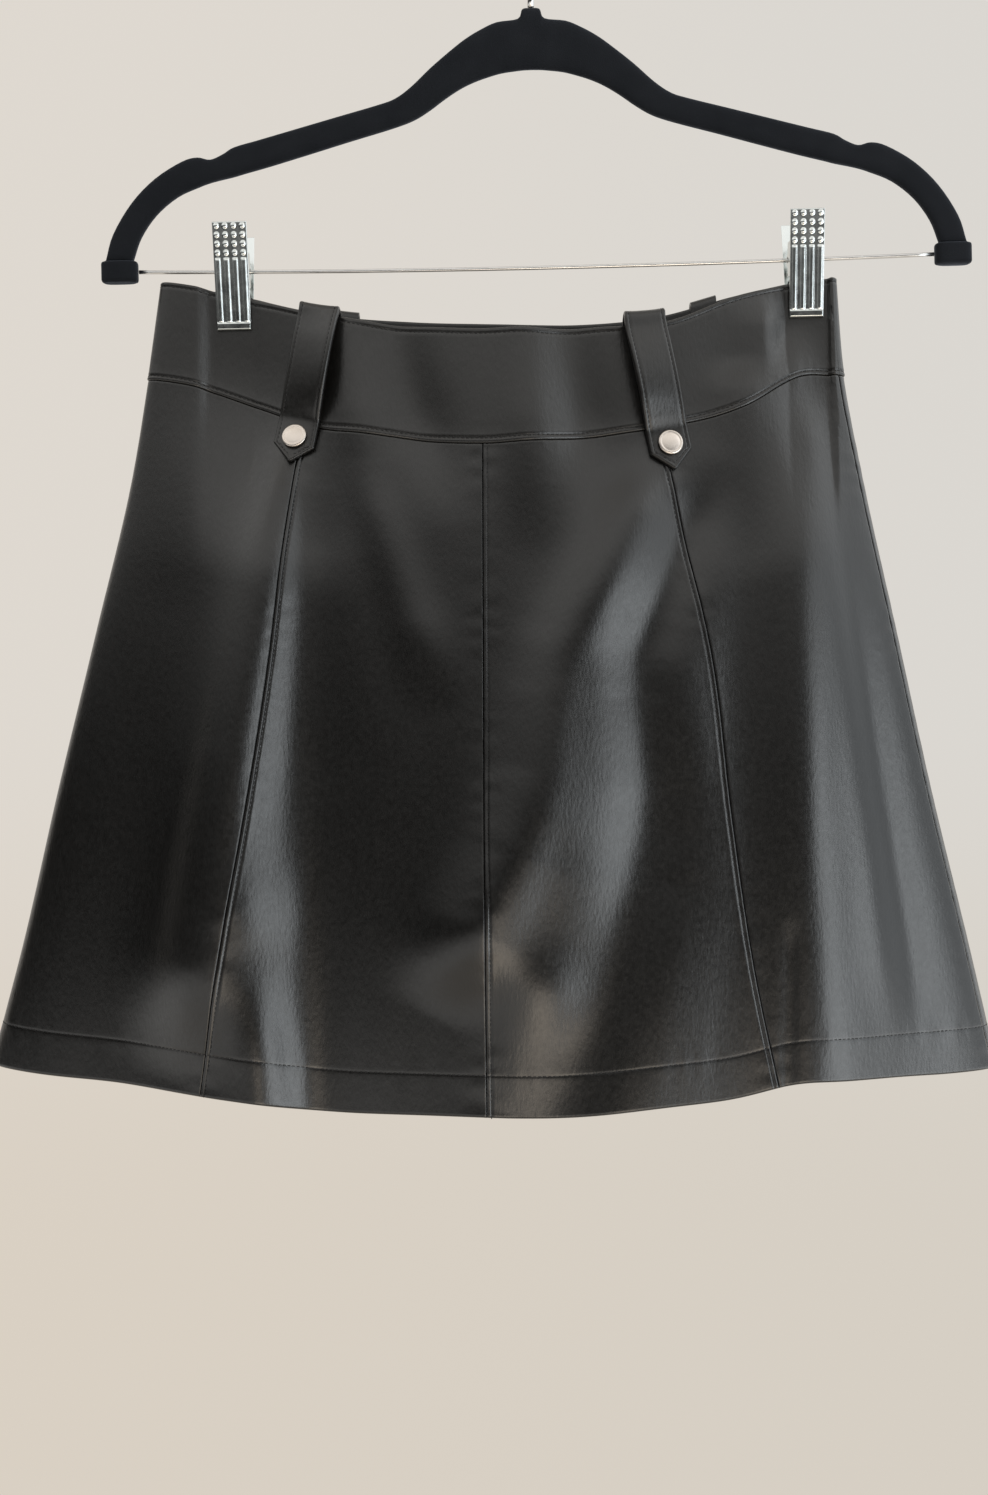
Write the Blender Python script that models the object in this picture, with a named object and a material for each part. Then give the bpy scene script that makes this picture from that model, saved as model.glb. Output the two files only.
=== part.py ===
"""A-line leather mini skirt, held by the two clips of a hanger. Metres, +Z up.

The origin is the inner top of the hanger's hook, where it rests on a rail.
+X runs to the right of the skirt's front and +Y from its front to its back.
Sizes below are in millimetres, and every point is scaled once, in new_object.
"""

import math

import bmesh
import bpy
import numpy as np
from mathutils import Matrix, Vector

MM = 0.001
GAP = 0.3                       # between pieces that touch
SLOPE_STEP = 1e-3               # of share and angle, for the surface's slopes
SEARCH_STEPS = 30               # halvings, to find a height on the surface

# ---- skirt: sizes all over -------------------------------------------------
PANEL_WALL = 1.2                # one layer of leather
BAND_WALL = 2.0                 # waistband, two layers
HEM_WALL = 2.2                  # panel with its hem turned up
HEM_DEPTH = 22.0
HEM_STEP = (0.003, 0.001)       # shares of the length before and after which the hem thickens
FOLD_POWER = 30                 # how abruptly front and back close at the side folds
BAND_SHARE = 0.126              # share of the skirt's length that is waistband
WAIST_Z = (-200.5, -198.0)      # height of the waist's edge at its left and right fold
HEM_Z = (-598.1, -599.6)        # height of the hem's edge at its left and right fold

# Level sections: share of the length down from the waist's edge, place of the left
# and right fold, how far front and back bulge in the middle, and the half thickness
# of the round side folds.
SECTION_COLUMNS = ("down", "left", "right", "bulge_front", "bulge_back", "fold")
SECTIONS = [
    (0.000, -186.5, 156.4, 15.0, 13.0, 5.0),    # waist's edge
    (0.126, -193.4, 160.6, 19.0, 16.0, 6.0),    # waistband's seam
    (0.250, -201.4, 169.9, 24.0, 19.0, 7.0),    # hip
    (0.450, -220.0, 187.6, 31.0, 24.0, 8.0),
    (0.650, -239.1, 205.2, 38.0, 28.0, 8.5),
    (0.850, -257.2, 224.6, 44.0, 32.0, 9.0),
    (1.000, -272.9, 238.6, 48.0, 35.0, 9.0),    # hem's edge
]

# How far the waist's edge, the waistband's seam and the hem hang below a straight
# line between the side folds; across is -1 at the left fold and 1 at the right one.
SAG_COLUMNS = ("across", "front_waist", "front_seam", "front_hem",
               "back_waist", "back_seam", "back_hem")
SAGS = [
    (-1.00, 0.0, 0.0, 0.0, 0.0, 0.0, 0.0),
    (-0.85, 4.7, 5.0, 0.5, 4.0, 4.5, 2.0),
    (-0.70, 10.8, 14.0, 2.5, 9.0, 10.5, 4.5),
    (-0.50, 20.8, 28.0, 4.5, 14.0, 16.0, 8.2),
    (-0.25, 28.2, 35.0, 11.3, 15.6, 18.0, 11.0),
    (0.00, 31.0, 38.8, 12.0, 16.0, 18.5, 12.0),
    (0.25, 30.2, 35.5, 8.7, 17.0, 18.5, 11.0),
    (0.50, 25.6, 28.5, 5.0, 14.0, 15.5, 8.2),
    (0.70, 11.2, 18.5, -1.0, 6.6, 8.5, 4.5),
    (0.88, 2.8, 0.5, 0.0, 2.0, 3.0, 1.8),
    (1.00, 0.0, 0.0, 0.0, 0.0, 0.0, 0.0),
]

# Large folds: place, half width and rise (below 0 for a hollow) at the waist's edge
# and at the hem, and the share of the length at which the fold starts.
FOLD_COLUMNS = ("face", "place_waist", "place_hem", "width_waist", "width_hem",
                "rise_waist", "rise_hem", "start")
FOLDS = [
    ("front", -112.0, -140.0, 24.0, 36.0, 4.0, 8.0, 0.12),     # roll on the left seam
    ("front", -165.0, -205.0, 18.0, 30.0, -2.0, -5.0, 0.20),
    ("front", -60.0, -64.0, 26.0, 44.0, -3.0, -8.0, 0.14),
    ("front", 66.0, 26.0, 28.0, 40.0, 4.0, 8.0, 0.14),          # slanting roll
    ("front", 104.0, 124.0, 13.0, 21.0, -5.0, -13.0, 0.10),     # deep fold by the right seam
    ("front", 134.0, 166.0, 14.0, 24.0, 2.0, 4.0, 0.16),
    ("back", -96.0, -132.0, 22.0, 34.0, 2.0, 9.0, 0.15),
    ("back", -50.0, -70.0, 20.0, 34.0, -2.0, -7.0, 0.25),
    ("back", 48.0, 62.0, 22.0, 38.0, -2.0, -8.0, 0.20),
    ("back", 96.0, 128.0, 20.0, 32.0, 2.0, 8.0, 0.15),
]
FOLD_GROWTH = 0.22              # share of the length over which a fold comes up
FOLD_FADE = 8                   # power that fades the folds out at the sides

# Seams that run down: place across at the shares of the length in SEAM_DOWN.
SEAM_DOWN = (0.126, 0.250, 0.450, 0.650, 0.850, 1.000)
SEAMS = {
    "princess_left": ("front", (-113.5, -119.0, -126.8, -137.0, -148.5, -157.0)),
    "centre_front": ("front", (-22.9, -22.8, -22.5, -22.0, -21.3, -20.7)),
    "princess_right": ("front", (65.5, 74.4, 89.6, 97.8, 107.6, 118.0)),
    "centre_back": ("back", (-3.0, -4.0, -6.5, -9.0, -11.5, -14.0)),
}
SIDE_SEAM_TURN = -0.19          # side seams lie this angle back from the folds, clockwise

# Panels: seam at the start and the end, going round from the left fold over the
# front, and the number of columns.
PANELS = [
    ("front_side_left", "side_left", "princess_left", 11),
    ("front_centre_left", "princess_left", "centre_front", 8),
    ("front_centre_right", "centre_front", "princess_right", 8),
    ("front_side_right", "princess_right", "side_right", 12),
    ("back_right", "side_right", "centre_back", 14),
    ("back_left", "centre_back", "side_left_again", 14),
]
PANEL_ROWS = 15
BAND_ROWS = 4
BAND_COLUMNS = 26
BAND_CLIP_COLUMNS = (-13.0, -9.8, 9.8, 13.0)    # more columns, from each clip's middle
BAND_CLIP_SHARE = 0.03          # share of the length down to the clips' middle
BAND_END_SHARE = 0.01           # nearest that such a column comes to the band's end
END_CROWDING = 0.62             # crowds the band's columns towards the side folds

# ---- belt loops -----------------------------------------------------------
LOOP_WALL = 2.0
LOOP_TAIL = 9.0                 # turned in behind the waistband
LOOP_SEAT = 1.1                 # between its tail and the waistband
LOOP_POINT = 9.0                # length of the pointed end
LOOP_TIP = 1.6                  # width of the point itself
LOOP_ARCH = [math.radians(a) for a in (14, 42, 90, 138, 162)]   # bends over the waist's edge
LOOP_SQUARE = (0.6, 0.5)        # powers that square the bend, across and up
FRONT_LOOP_WIDTH = 21.0
BACK_LOOP_WIDTH = 12.5
# Stand-off of a loop's outer and inner edge from the cloth, against the distance
# down from the waist's edge: the inner edge is the one towards the skirt's middle.
LOOP_COLUMNS = ("below", "outer_edge", "inner_edge")
FRONT_LOOP = [
    (4.0, 4.6, 6.6),
    (14.0, 5.6, 8.2),
    (26.0, 5.8, 8.6),
    (37.0, 4.8, 7.2),
    (46.0, 2.9, 4.0),
    (52.0, 1.0, 1.1),
    (55.5, 0.5, 0.5),
    (62.0, 0.4, 0.4),
]
BACK_LOOP = [
    (4.0, 2.8, 2.8),
    (14.0, 3.2, 3.2),
    (30.0, 3.2, 3.2),
    (46.0, 2.6, 2.6),
    (56.0, 0.9, 0.9),
    (62.0, 0.5, 0.5),
]
# Loops: face, place across at the waist's edge and at the lower end, which way the
# skirt's middle lies, how far the loop clears the waist's edge, and its length below it.
LOOPS = {
    "belt_loop_front_left": ("front", -104.5, -119.0, 1, 1.9, 75.5),
    "belt_loop_front_right": ("front", 57.0, 72.0, -1, 4.2, 73.0),
    "belt_loop_back_left": ("back", -93.7, -96.0, 1, 1.3, 74.0),
    "belt_loop_back_right": ("back", 90.9, 93.0, -1, 1.3, 74.0),
}

# ---- studs ----------------------------------------------------------------
STUDS = {"stud_left": "belt_loop_front_left", "stud_right": "belt_loop_front_right"}
STUD_ABOVE_TIP = 13.0
STUD_SEAT = 0.5                 # above the loop's face
# Turned outline of a stud: radius and height over the loop's face.
STUD_OUTLINE = [(5.2, 0.0), (6.3, 0.5), (6.3, 1.1), (5.6, 1.7), (4.9, 1.75), (3.0, 2.35), (1.2, 2.6)]
STUD_SIDES = 20

# ---- hanger, in a frame of its own that hangs tilted --------------------------
HANG_TILT = math.radians(1.3)   # the left end hangs lower
BODY_THICK = 5.4
TIP_THICK = 7.6
# Rounded section of the body's front half, as shares of half its height and thickness.
BODY_CORNERS = ((1.0, 0.35), (0.78, 0.85), (0.45, 1.0), (-0.45, 1.0), (-0.78, 0.85), (-1.0, 0.35))
# Right half of the body: a point of the upper edge and the point of the lower edge
# across from it.
BODY_COLUMNS = ("upper_x", "upper_z", "lower_x", "lower_z")
BODY = [
    (0.0, -60.0, 0.0, -91.2),           # knob that takes the hook
    (4.4, -60.6, 4.2, -91.3),
    (6.8, -65.4, 6.8, -91.5),
    (17.5, -66.9, 15.5, -92.6),
    (25.5, -70.3, 23.0, -94.6),
    (33.5, -74.9, 30.0, -97.0),
    (41.5, -80.9, 37.0, -100.3),
    (52.0, -89.6, 44.5, -105.0),
    (62.0, -98.9, 52.0, -110.4),
    (70.5, -104.9, 60.5, -115.5),
    (79.5, -108.0, 72.0, -119.6),       # arm
    (100.0, -113.5, 94.0, -125.8),
    (120.0, -118.9, 115.0, -131.9),
    (140.0, -124.3, 135.0, -137.6),
    (153.0, -127.8, 148.0, -141.0),
    (158.8, -131.2, 153.5, -142.5),     # notch for a strap
    (165.4, -133.9, 160.0, -143.9),
    (172.0, -132.6, 165.5, -145.3),
    (180.0, -134.6, 171.5, -147.4),
    (193.8, -143.0, 182.5, -152.2),
    (206.0, -155.2, 193.5, -161.2),
    (215.8, -171.0, 201.5, -172.6),
    (219.8, -184.3, 205.8, -184.3),     # end of the arm
    (222.2, -185.2, 203.6, -185.2),     # tip that takes the bar
    (222.2, -195.6, 204.4, -195.6),
]
TIP_ROWS = 2                    # last rows of BODY with the tip's thickness

HOOK_WIRE = 1.7                 # radius
HOOK_BEND = 20.0                # radius of the wire's middle line
HOOK_START = -55.0              # degrees, where shank and bend meet
HOOK_END = 207.0
HOOK_STEP = 13.1
SHANK = [(0.0, -59.7), (0.0, -54.0), (0.1, -49.0), (1.8, -44.0), (5.8, -39.2)]

BAR_WIRE = 1.0
BAR_END = (203.0, -190.2)
BAR_SAG = 2.4
BAR_POINTS = 13
BAR_HOLE = 1.5                  # radius of the holes that the bar runs through

# ---- clips on the bar -------------------------------------------------------
CLIP_PLACES = {"clip_left": -154.5, "clip_right": 136.5}    # along the bar
CLIP_WIDTH = 17.4
CLIP_TOP = -169.6
CLIP_FOOT = -221.8
PLATE = 1.0
PLATE_FOOT_Y = 2.5              # inner face at the foot, from the cloth's middle
PLATE_LEAN = math.radians(9.0)
PINCH = 1.2                     # cloth's middle surface from the middle plane, in a clip
CLIP_MARGIN = 2.0               # cloth still pressed flat beside a clip
CLIP_ROLLS = (10.0, 4.5)        # width over which the cloth opens, outside each clip
CLIP_GRIP = (0.06, 0.36)        # shares of the length where the grip starts to fade, and ends
LIP_RISE = 0.5                  # lip along a plate's foot
SUNK = 0.3                      # depth to which ribs and bumps reach into the plate
RIB_COUNT = 4
RIB_HEIGHT = 0.7
RIB_HALF = (1.1, 0.6)           # half width at its foot and at its top
RIB_FOOT = 4.0                  # plain lip below the ribs
RIB_TOP_GAP = 0.8               # between ribs and bumps
BUMP_ROWS = 4
# Outline of a bump: radius and height over the plate.
BUMP_OUTLINE = ((1.15, -SUNK), (1.15, 0.05), (0.58, 0.6))
BUMP_SIDES = 6
EAR = 0.9
EAR_ROOT = 8.5                  # half height where the ear leaves the plate
# Rounded end of an ear, from the bar's middle: away from the plate, and up.
EAR_END = ((0.0, -2.9), (2.2, -1.8), (2.9, 0.0), (2.2, 1.8), (0.0, 2.9))
EAR_INSET = {"front": 0.5, "back": 1.8}
SPRING_RADIUS = 3.6
SPRING_GROOVE = 0.6
SPRING_LENGTH = 10.4
SPRING_TURNS = 6
SPRING_SIDES = 12

# Colour, roughness and metallic value of each material.
MATERIALS = {
    "leather": ((0.016, 0.017, 0.019), 0.36, 0.0),
    "leather_trim": ((0.018, 0.018, 0.020), 0.40, 0.0),
    "velvet": ((0.008, 0.009, 0.014), 0.95, 0.0),
    "stud_metal": ((0.78, 0.74, 0.70), 0.28, 1.0),
    "clip_metal": ((0.72, 0.74, 0.74), 0.24, 1.0),
    "wire_metal": ((0.60, 0.60, 0.60), 0.25, 1.0),
}


# ---- small helpers --------------------------------------------------------
def smooth_through(places, values, at):
    """Value at `at` on a smooth curve through (place, value) pairs."""
    places = np.asarray(places, dtype=float)
    values = np.asarray(values, dtype=float)
    slopes = np.gradient(values, places)
    at = np.asarray(at, dtype=float)
    clamped = np.clip(at, places[0], places[-1])
    index = np.clip(np.searchsorted(places, clamped) - 1, 0, len(places) - 2)
    span = places[index + 1] - places[index]
    t = (clamped - places[index]) / span
    start = (1 + 2 * t) * (1 - t) ** 2 * values[index] + t * (1 - t) ** 2 * span * slopes[index]
    end = t * t * (3 - 2 * t) * values[index + 1] + t * t * (t - 1) * span * slopes[index + 1]
    beyond = (at - clamped) * np.where(at > clamped, slopes[-1], slopes[0])
    return start + end + beyond


def ease(low, high, at):
    """0 below low, 1 above high and smooth between them."""
    t = np.clip((np.asarray(at, dtype=float) - low) / (high - low), 0.0, 1.0)
    return t * t * (3 - 2 * t)


def blend(low, high, share):
    return low + (high - low) * share


def column(table, names, name):
    """One named column of a table."""
    index = names.index(name)
    return [row[index] for row in table]


def section(name, down):
    """One column of SECTIONS at a share of the length."""
    return smooth_through(column(SECTIONS, SECTION_COLUMNS, "down"),
                          column(SECTIONS, SECTION_COLUMNS, name), down)


def turned(x, z):
    """A point of the hanger's own frame in the skirt's frame."""
    return (math.cos(HANG_TILT) * x - math.sin(HANG_TILT) * z,
            math.sin(HANG_TILT) * x + math.cos(HANG_TILT) * z)


def new_object(name, bm, material, hidden=False):
    """Object of a bmesh in millimetres, closed and facing out, in metres."""
    bmesh.ops.recalc_face_normals(bm, faces=bm.faces)
    bmesh.ops.scale(bm, vec=(MM, MM, MM), verts=bm.verts)
    mesh = bpy.data.meshes.new(name)
    bm.to_mesh(mesh)
    bm.free()
    mesh.shade_smooth()
    mesh.set_sharp_from_angle(angle=math.radians(38))
    mesh.materials.append(bpy.data.materials[material])
    obj = bpy.data.objects.new(name, mesh)
    bpy.context.scene.collection.objects.link(obj)
    if hidden:
        obj.hide_render = True
        obj.display_type = "WIRE"
    return obj


def grid_wall(outer, inner):
    """Closed wall between two grids of points, rows by columns."""
    bm = bmesh.new()
    rows, columns = outer.shape[0], outer.shape[1]
    out = [[bm.verts.new(outer[r, c]) for c in range(columns)] for r in range(rows)]
    into = [[bm.verts.new(inner[r, c]) for c in range(columns)] for r in range(rows)]
    for r in range(rows - 1):
        for c in range(columns - 1):
            bm.faces.new((out[r][c], out[r + 1][c], out[r + 1][c + 1], out[r][c + 1]))
            bm.faces.new((into[r][c], into[r][c + 1], into[r + 1][c + 1], into[r + 1][c]))
    for r in range(rows - 1):
        for c in (0, columns - 1):
            bm.faces.new((out[r][c], out[r + 1][c], into[r + 1][c], into[r][c]))
    for c in range(columns - 1):
        for r in (0, rows - 1):
            bm.faces.new((out[r][c], out[r][c + 1], into[r][c + 1], into[r][c]))
    return bm


def rings(bm, points, closed=False):
    """Skin of rings with equal counts: capped at both ends, or joined end to start."""
    loops = [[bm.verts.new(p) for p in ring] for ring in points]
    pairs = list(zip(loops, loops[1:]))
    if closed:
        pairs.append((loops[-1], loops[0]))
    for near, far in pairs:
        for i in range(len(near)):
            j = (i + 1) % len(near)
            bm.faces.new((near[i], near[j], far[j], far[i]))
    if not closed:
        bm.faces.new(loops[0])
        bm.faces.new(loops[-1])


# ---- the cloth's surface ------------------------------------------------------
def fold_rise(face, x, down):
    """Sum of the large folds of one face."""
    total = np.zeros_like(x)
    for row in FOLDS:
        fold = dict(zip(FOLD_COLUMNS, row))
        if fold["face"] == face:
            place = blend(fold["place_waist"], fold["place_hem"], down)
            width = blend(fold["width_waist"], fold["width_hem"], down)
            rise = blend(fold["rise_waist"], fold["rise_hem"], down)
            grown = ease(fold["start"], fold["start"] + FOLD_GROWTH, down)
            total += grown * rise * np.exp(-((x - place) / width) ** 2)
    return total


def clipped_depth(x, fold, bulge):
    """Depth at the clips' height: flat in each clip, an arc between, a roll outside."""
    left, right = (turned(place, CLIP_FOOT)[0] for place in CLIP_PLACES.values())
    flat = CLIP_WIDTH / 2 + CLIP_MARGIN
    middle, reach = (left + right) / 2, (right - left) / 2 - flat
    arc = (bulge + fold) * np.clip(1 - ((x - middle) / reach) ** 2, 0, 1)
    roll_left = ease(0.0, CLIP_ROLLS[0], left - flat - x)
    roll_right = ease(0.0, CLIP_ROLLS[1], x - right - flat)
    return PINCH + arc + (fold - PINCH) * (roll_left + roll_right)


def half_depth(face, x, across, down):
    """Distance of the cloth's middle surface from the plane between front and back."""
    fold = section("fold", down)
    bulge = section("bulge_" + face, down)
    round_end = np.sqrt(np.clip(1 - np.abs(across) ** FOLD_POWER, 0, 1))
    hanging = fold * round_end + bulge * (1 - across ** 2)
    held = clipped_depth(x, fold, bulge)
    held = np.where(held > fold, held, np.minimum(held, fold * round_end))
    grip = 1 - ease(CLIP_GRIP[0], CLIP_GRIP[1], down)
    return blend(hanging, held, grip) + fold_rise(face, x, down) * (1 - across ** FOLD_FADE)


def sag(face, across, down):
    """How far a face hangs below the straight line between the side folds."""
    places = column(SAGS, SAG_COLUMNS, "across")
    waist, seam, hem = (smooth_through(places, column(SAGS, SAG_COLUMNS, face + line), across)
                        for line in ("_waist", "_seam", "_hem"))
    band = np.minimum(down / BAND_SHARE, 1.0)
    body = np.maximum((down - BAND_SHARE) / (1 - BAND_SHARE), 0.0)
    return blend(blend(waist, seam, band), hem, body)


def surface(down, angle):
    """Points of the cloth's middle surface.

    angle goes round the skirt: 0 at the left fold, pi at the right fold, front
    between them and back from pi to two pi.
    """
    down, angle = np.broadcast_arrays(np.asarray(down, dtype=float), np.asarray(angle, dtype=float))
    across = -np.cos(angle)
    left, right = section("left", down), section("right", down)
    x = (left + right) / 2 + across * (right - left) / 2
    on_front = np.sin(angle) >= 0
    depth = np.where(on_front, -half_depth("front", x, across, down),
                     half_depth("back", x, across, down))
    drop = np.where(on_front, sag("front", across, down), sag("back", across, down))
    side = (across + 1) / 2
    top = blend(WAIST_Z[0], WAIST_Z[1], side)
    foot = blend(HEM_Z[0], HEM_Z[1], side)
    z = blend(top, foot, down) - drop
    return np.stack([x, depth, z], axis=-1)


def outward(down, angle):
    """Unit normals of the surface, away from the inside of the skirt."""
    around = surface(down, angle + SLOPE_STEP) - surface(down, angle - SLOPE_STEP)
    along = surface(down + SLOPE_STEP, angle) - surface(down - SLOPE_STEP, angle)
    normal = np.cross(along, around)
    return normal / np.linalg.norm(normal, axis=-1, keepdims=True)


def face_angle(face, x, down):
    """Angle at which one face has a place across."""
    left, right = section("left", down), section("right", down)
    angle = np.arccos(-(x - (left + right) / 2) / (right - left) * 2)
    return angle if face == "front" else 2 * math.pi - angle


def seam_angle(seam, down):
    """Angle of a seam at a share of the length."""
    if seam == "side_left":
        return np.full_like(down, SIDE_SEAM_TURN)
    if seam == "side_right":
        return np.full_like(down, math.pi + SIDE_SEAM_TURN)
    if seam == "side_left_again":
        return np.full_like(down, 2 * math.pi + SIDE_SEAM_TURN)
    face, places = SEAMS[seam]
    return face_angle(face, smooth_through(SEAM_DOWN, places, down), down)


def half_gap(down, angle):
    """Half a seam's gap as an angle."""
    ahead, behind = surface(down, angle + SLOPE_STEP), surface(down, angle - SLOPE_STEP)
    return GAP / 2 * (2 * SLOPE_STEP) / np.linalg.norm(ahead - behind, axis=-1)


def cloth_wall(down, angle, thick_out, thick_in):
    """Wall on the surface's points, thick_out outwards and thick_in inwards."""
    middle = surface(down, angle)
    normal = outward(down, angle)
    return grid_wall(middle + normal * thick_out, middle - normal * thick_in)


# ---- panels and waistband ----------------------------------------------------
def panel_downs():
    """Rows of a panel, with a close pair where the hem's turned layer starts."""
    length = HEM_Z[0] - WAIST_Z[0]
    gap_share = GAP / 2 / abs(length)
    hem_share = 1 - HEM_DEPTH / abs(length)
    upper = np.linspace(BAND_SHARE + gap_share, hem_share - HEM_STEP[0], PANEL_ROWS)
    return np.concatenate([upper, [hem_share + HEM_STEP[1], 1.0]])


def make_panel(name, start_seam, end_seam, columns):
    downs = panel_downs()
    start = seam_angle(start_seam, downs)
    end = seam_angle(end_seam, downs)
    start = start + half_gap(downs, start)
    end = end - half_gap(downs, end)
    share = np.linspace(0, 1, columns + 1)[None, :]
    angle = blend(start[:, None], end[:, None], share)
    down = np.repeat(downs[:, None], columns + 1, axis=1)
    hem = (np.arange(len(downs)) >= PANEL_ROWS)[:, None, None]
    inner = np.where(hem, HEM_WALL - PANEL_WALL / 2, PANEL_WALL / 2)
    bm = cloth_wall(down, angle, PANEL_WALL / 2, inner)
    return new_object(name, bm, "leather")


def make_waistband(name, face, start_turn, end_turn):
    """Half of the waistband, from one side seam to the other."""
    length = abs(HEM_Z[0] - WAIST_Z[0])
    downs = np.linspace(0, BAND_SHARE - GAP / 2 / length, BAND_ROWS + 1)
    turn = np.linspace(0, 1, BAND_COLUMNS + 1)
    crowded = turn - END_CROWDING * np.sin(2 * math.pi * turn) / (2 * math.pi)
    clip_turns = [(face_angle(face, turned(place, CLIP_FOOT)[0] + beside, BAND_CLIP_SHARE) - start_turn)
                  / (end_turn - start_turn)
                  for place in CLIP_PLACES.values() for beside in BAND_CLIP_COLUMNS]
    inside = [turn for turn in clip_turns if BAND_END_SHARE < turn < 1 - BAND_END_SHARE]
    crowded = np.sort(np.concatenate([crowded, inside]))
    start = start_turn + half_gap(downs, np.full_like(downs, start_turn))
    end = end_turn - half_gap(downs, np.full_like(downs, end_turn))
    angle = blend(start[:, None], end[:, None], crowded[None, :])
    down = np.repeat(downs[:, None], len(crowded), axis=1)
    bm = cloth_wall(down, angle, BAND_WALL / 2, BAND_WALL / 2)
    return new_object(name, bm, "leather_trim")


# ---- belt loops and studs ------------------------------------------------------
def on_face(face, x, z):
    """Point of the cloth's middle surface at a place across and a height."""
    low, high = -0.05, 1.0
    for _ in range(SEARCH_STEPS):
        down = (low + high) / 2
        if surface(down, face_angle(face, x, down))[2] > z:
            low = down
        else:
            high = down
    return surface(down, face_angle(face, x, down))


def waist_point(face, x):
    """Point of the waist's edge at a place across."""
    return surface(0.0, face_angle(face, x, 0.0))


def loop_middle(name, rows, width):
    """Middle surface of a loop: rows of three points, from behind the band to its foot."""
    face, x_top, x_foot, middle_side, rise, foot = LOOPS[name]
    belows, outer_edge, inner_edge = (column(rows, LOOP_COLUMNS, title) for title in LOOP_COLUMNS)
    away = -1 if face == "front" else 1
    inner = BAND_WALL / 2 + LOOP_SEAT + LOOP_WALL / 2
    outer = BAND_WALL / 2 + LOOP_WALL / 2
    offsets = np.array((-width / 2, 0.0, width / 2))
    toward = (offsets * middle_side / (width / 2) + 1) / 2
    lean = Vector((foot, x_foot - x_top)).normalized()      # across the loop, in X and Z
    edges = [waist_point(face, x_top + dx * lean.x) for dx in offsets]

    def line(points, reach, lift=0.0):
        return [(p[0], p[1] + away * r, p[2] + lift) for p, r in zip(points, reach)]

    behind = [on_face(face, p[0], p[2] - LOOP_TAIL) for p in edges]
    grid = [line(behind, [-inner] * 3)]
    first = outer + blend(outer_edge[0], inner_edge[0], toward)
    for turn in LOOP_ARCH:
        swing = (1 - math.copysign(abs(math.cos(turn)) ** LOOP_SQUARE[0], math.cos(turn))) / 2
        lift = blend(-belows[0], rise + LOOP_WALL / 2, math.sin(turn) ** LOOP_SQUARE[1])
        grid.append(line(edges, blend(-inner, first, swing), lift))
    middle_height = edges[1][2]
    for below in belows + [foot - LOOP_POINT, foot]:
        x = blend(x_top, x_foot, below / foot)
        pointed = name in STUDS.values() and below == foot
        reach = offsets * (LOOP_TIP / width if pointed else 1.0)
        gaps = [smooth_through(belows, edge, min(below, belows[-1])) for edge in (outer_edge, inner_edge)]
        points = [on_face(face, x + dx * lean.x, middle_height - below + dx * lean.y) for dx in reach]
        grid.append(line(points, outer + blend(gaps[0], gaps[1], toward)))
    return np.array(grid)


def make_loop(name, rows, width):
    middle = loop_middle(name, rows, width)
    steps = np.diff(middle, axis=0)
    steps /= np.linalg.norm(steps, axis=-1, keepdims=True)
    along = np.concatenate([steps[:1], (steps[1:] + steps[:-1]) / 2, steps[-1:]])
    normal = np.cross(along, np.gradient(middle, axis=1))
    normal /= np.linalg.norm(normal, axis=-1, keepdims=True)
    bm = grid_wall(middle + normal * LOOP_WALL / 2, middle - normal * LOOP_WALL / 2)
    return new_object(name, bm, "leather_trim")


def make_stud(name, loop):
    """Domed stud on the flat end of a loop."""
    above, shoulder, tip = loop_middle(loop, FRONT_LOOP, FRONT_LOOP_WIDTH)[-3:]
    up = Vector(above[1] - tip[1]).normalized()
    axis = up.cross(Vector(shoulder[2] - shoulder[0])).normalized()
    if axis.y > 0:
        axis = -axis
    tip = Vector(tip[1])
    seat = tip + up * STUD_ABOVE_TIP + axis * (LOOP_WALL / 2 + STUD_SEAT)
    frame = Matrix.Translation(seat) @ axis.to_track_quat("Z", "Y").to_matrix().to_4x4()
    skin = []
    for radius, height in STUD_OUTLINE:
        ring = [(radius * math.cos(a), radius * math.sin(a), height)
                for a in np.linspace(0, 2 * math.pi, STUD_SIDES, endpoint=False)]
        skin.append([frame @ Vector(p) for p in ring])
    bm = bmesh.new()
    rings(bm, skin)
    return new_object(name, bm, "stud_metal")


# ---- hanger -----------------------------------------------------------------
def body_ring(row, thick):
    """Rounded section of the hanger's body between its upper and lower edge."""
    edge = dict(zip(BODY_COLUMNS, row))
    upper = np.array((edge["upper_x"], 0.0, edge["upper_z"]))
    lower = np.array((edge["lower_x"], 0.0, edge["lower_z"]))
    middle = (upper + lower) / 2
    reach = (upper - lower) / 2
    depth = np.array((0.0, thick / 2, 0.0))
    ring = [middle + reach * u + depth * w for u, w in BODY_CORNERS]
    ring += [middle + reach * u - depth * w for u, w in reversed(BODY_CORNERS)]
    return ring


def make_hanger_body():
    right = [body_ring(row, TIP_THICK if i >= len(BODY) - TIP_ROWS else BODY_THICK)
             for i, row in enumerate(BODY)]
    left = [[p * np.array((-1.0, 1.0, 1.0)) for p in ring] for ring in right[:0:-1]]
    bm = bmesh.new()
    rings(bm, left + right)
    return new_object("hanger_body", bm, "velvet")


def tube(name, points, radius, sides, material):
    """Round wire through points of the hanger's XZ plane."""
    path = [Vector((x, 0.0, z)) for x, z in points]
    bm = bmesh.new()
    skin = []
    for i, point in enumerate(path):
        ahead = (path[min(i + 1, len(path) - 1)] - path[max(i - 1, 0)]).normalized()
        side = Vector((0.0, 1.0, 0.0))
        up = side.cross(ahead)
        skin.append([point + radius * (math.cos(a) * side + math.sin(a) * up)
                     for a in np.linspace(0, 2 * math.pi, sides, endpoint=False)])
    rings(bm, skin)
    return new_object(name, bm, material)


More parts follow.
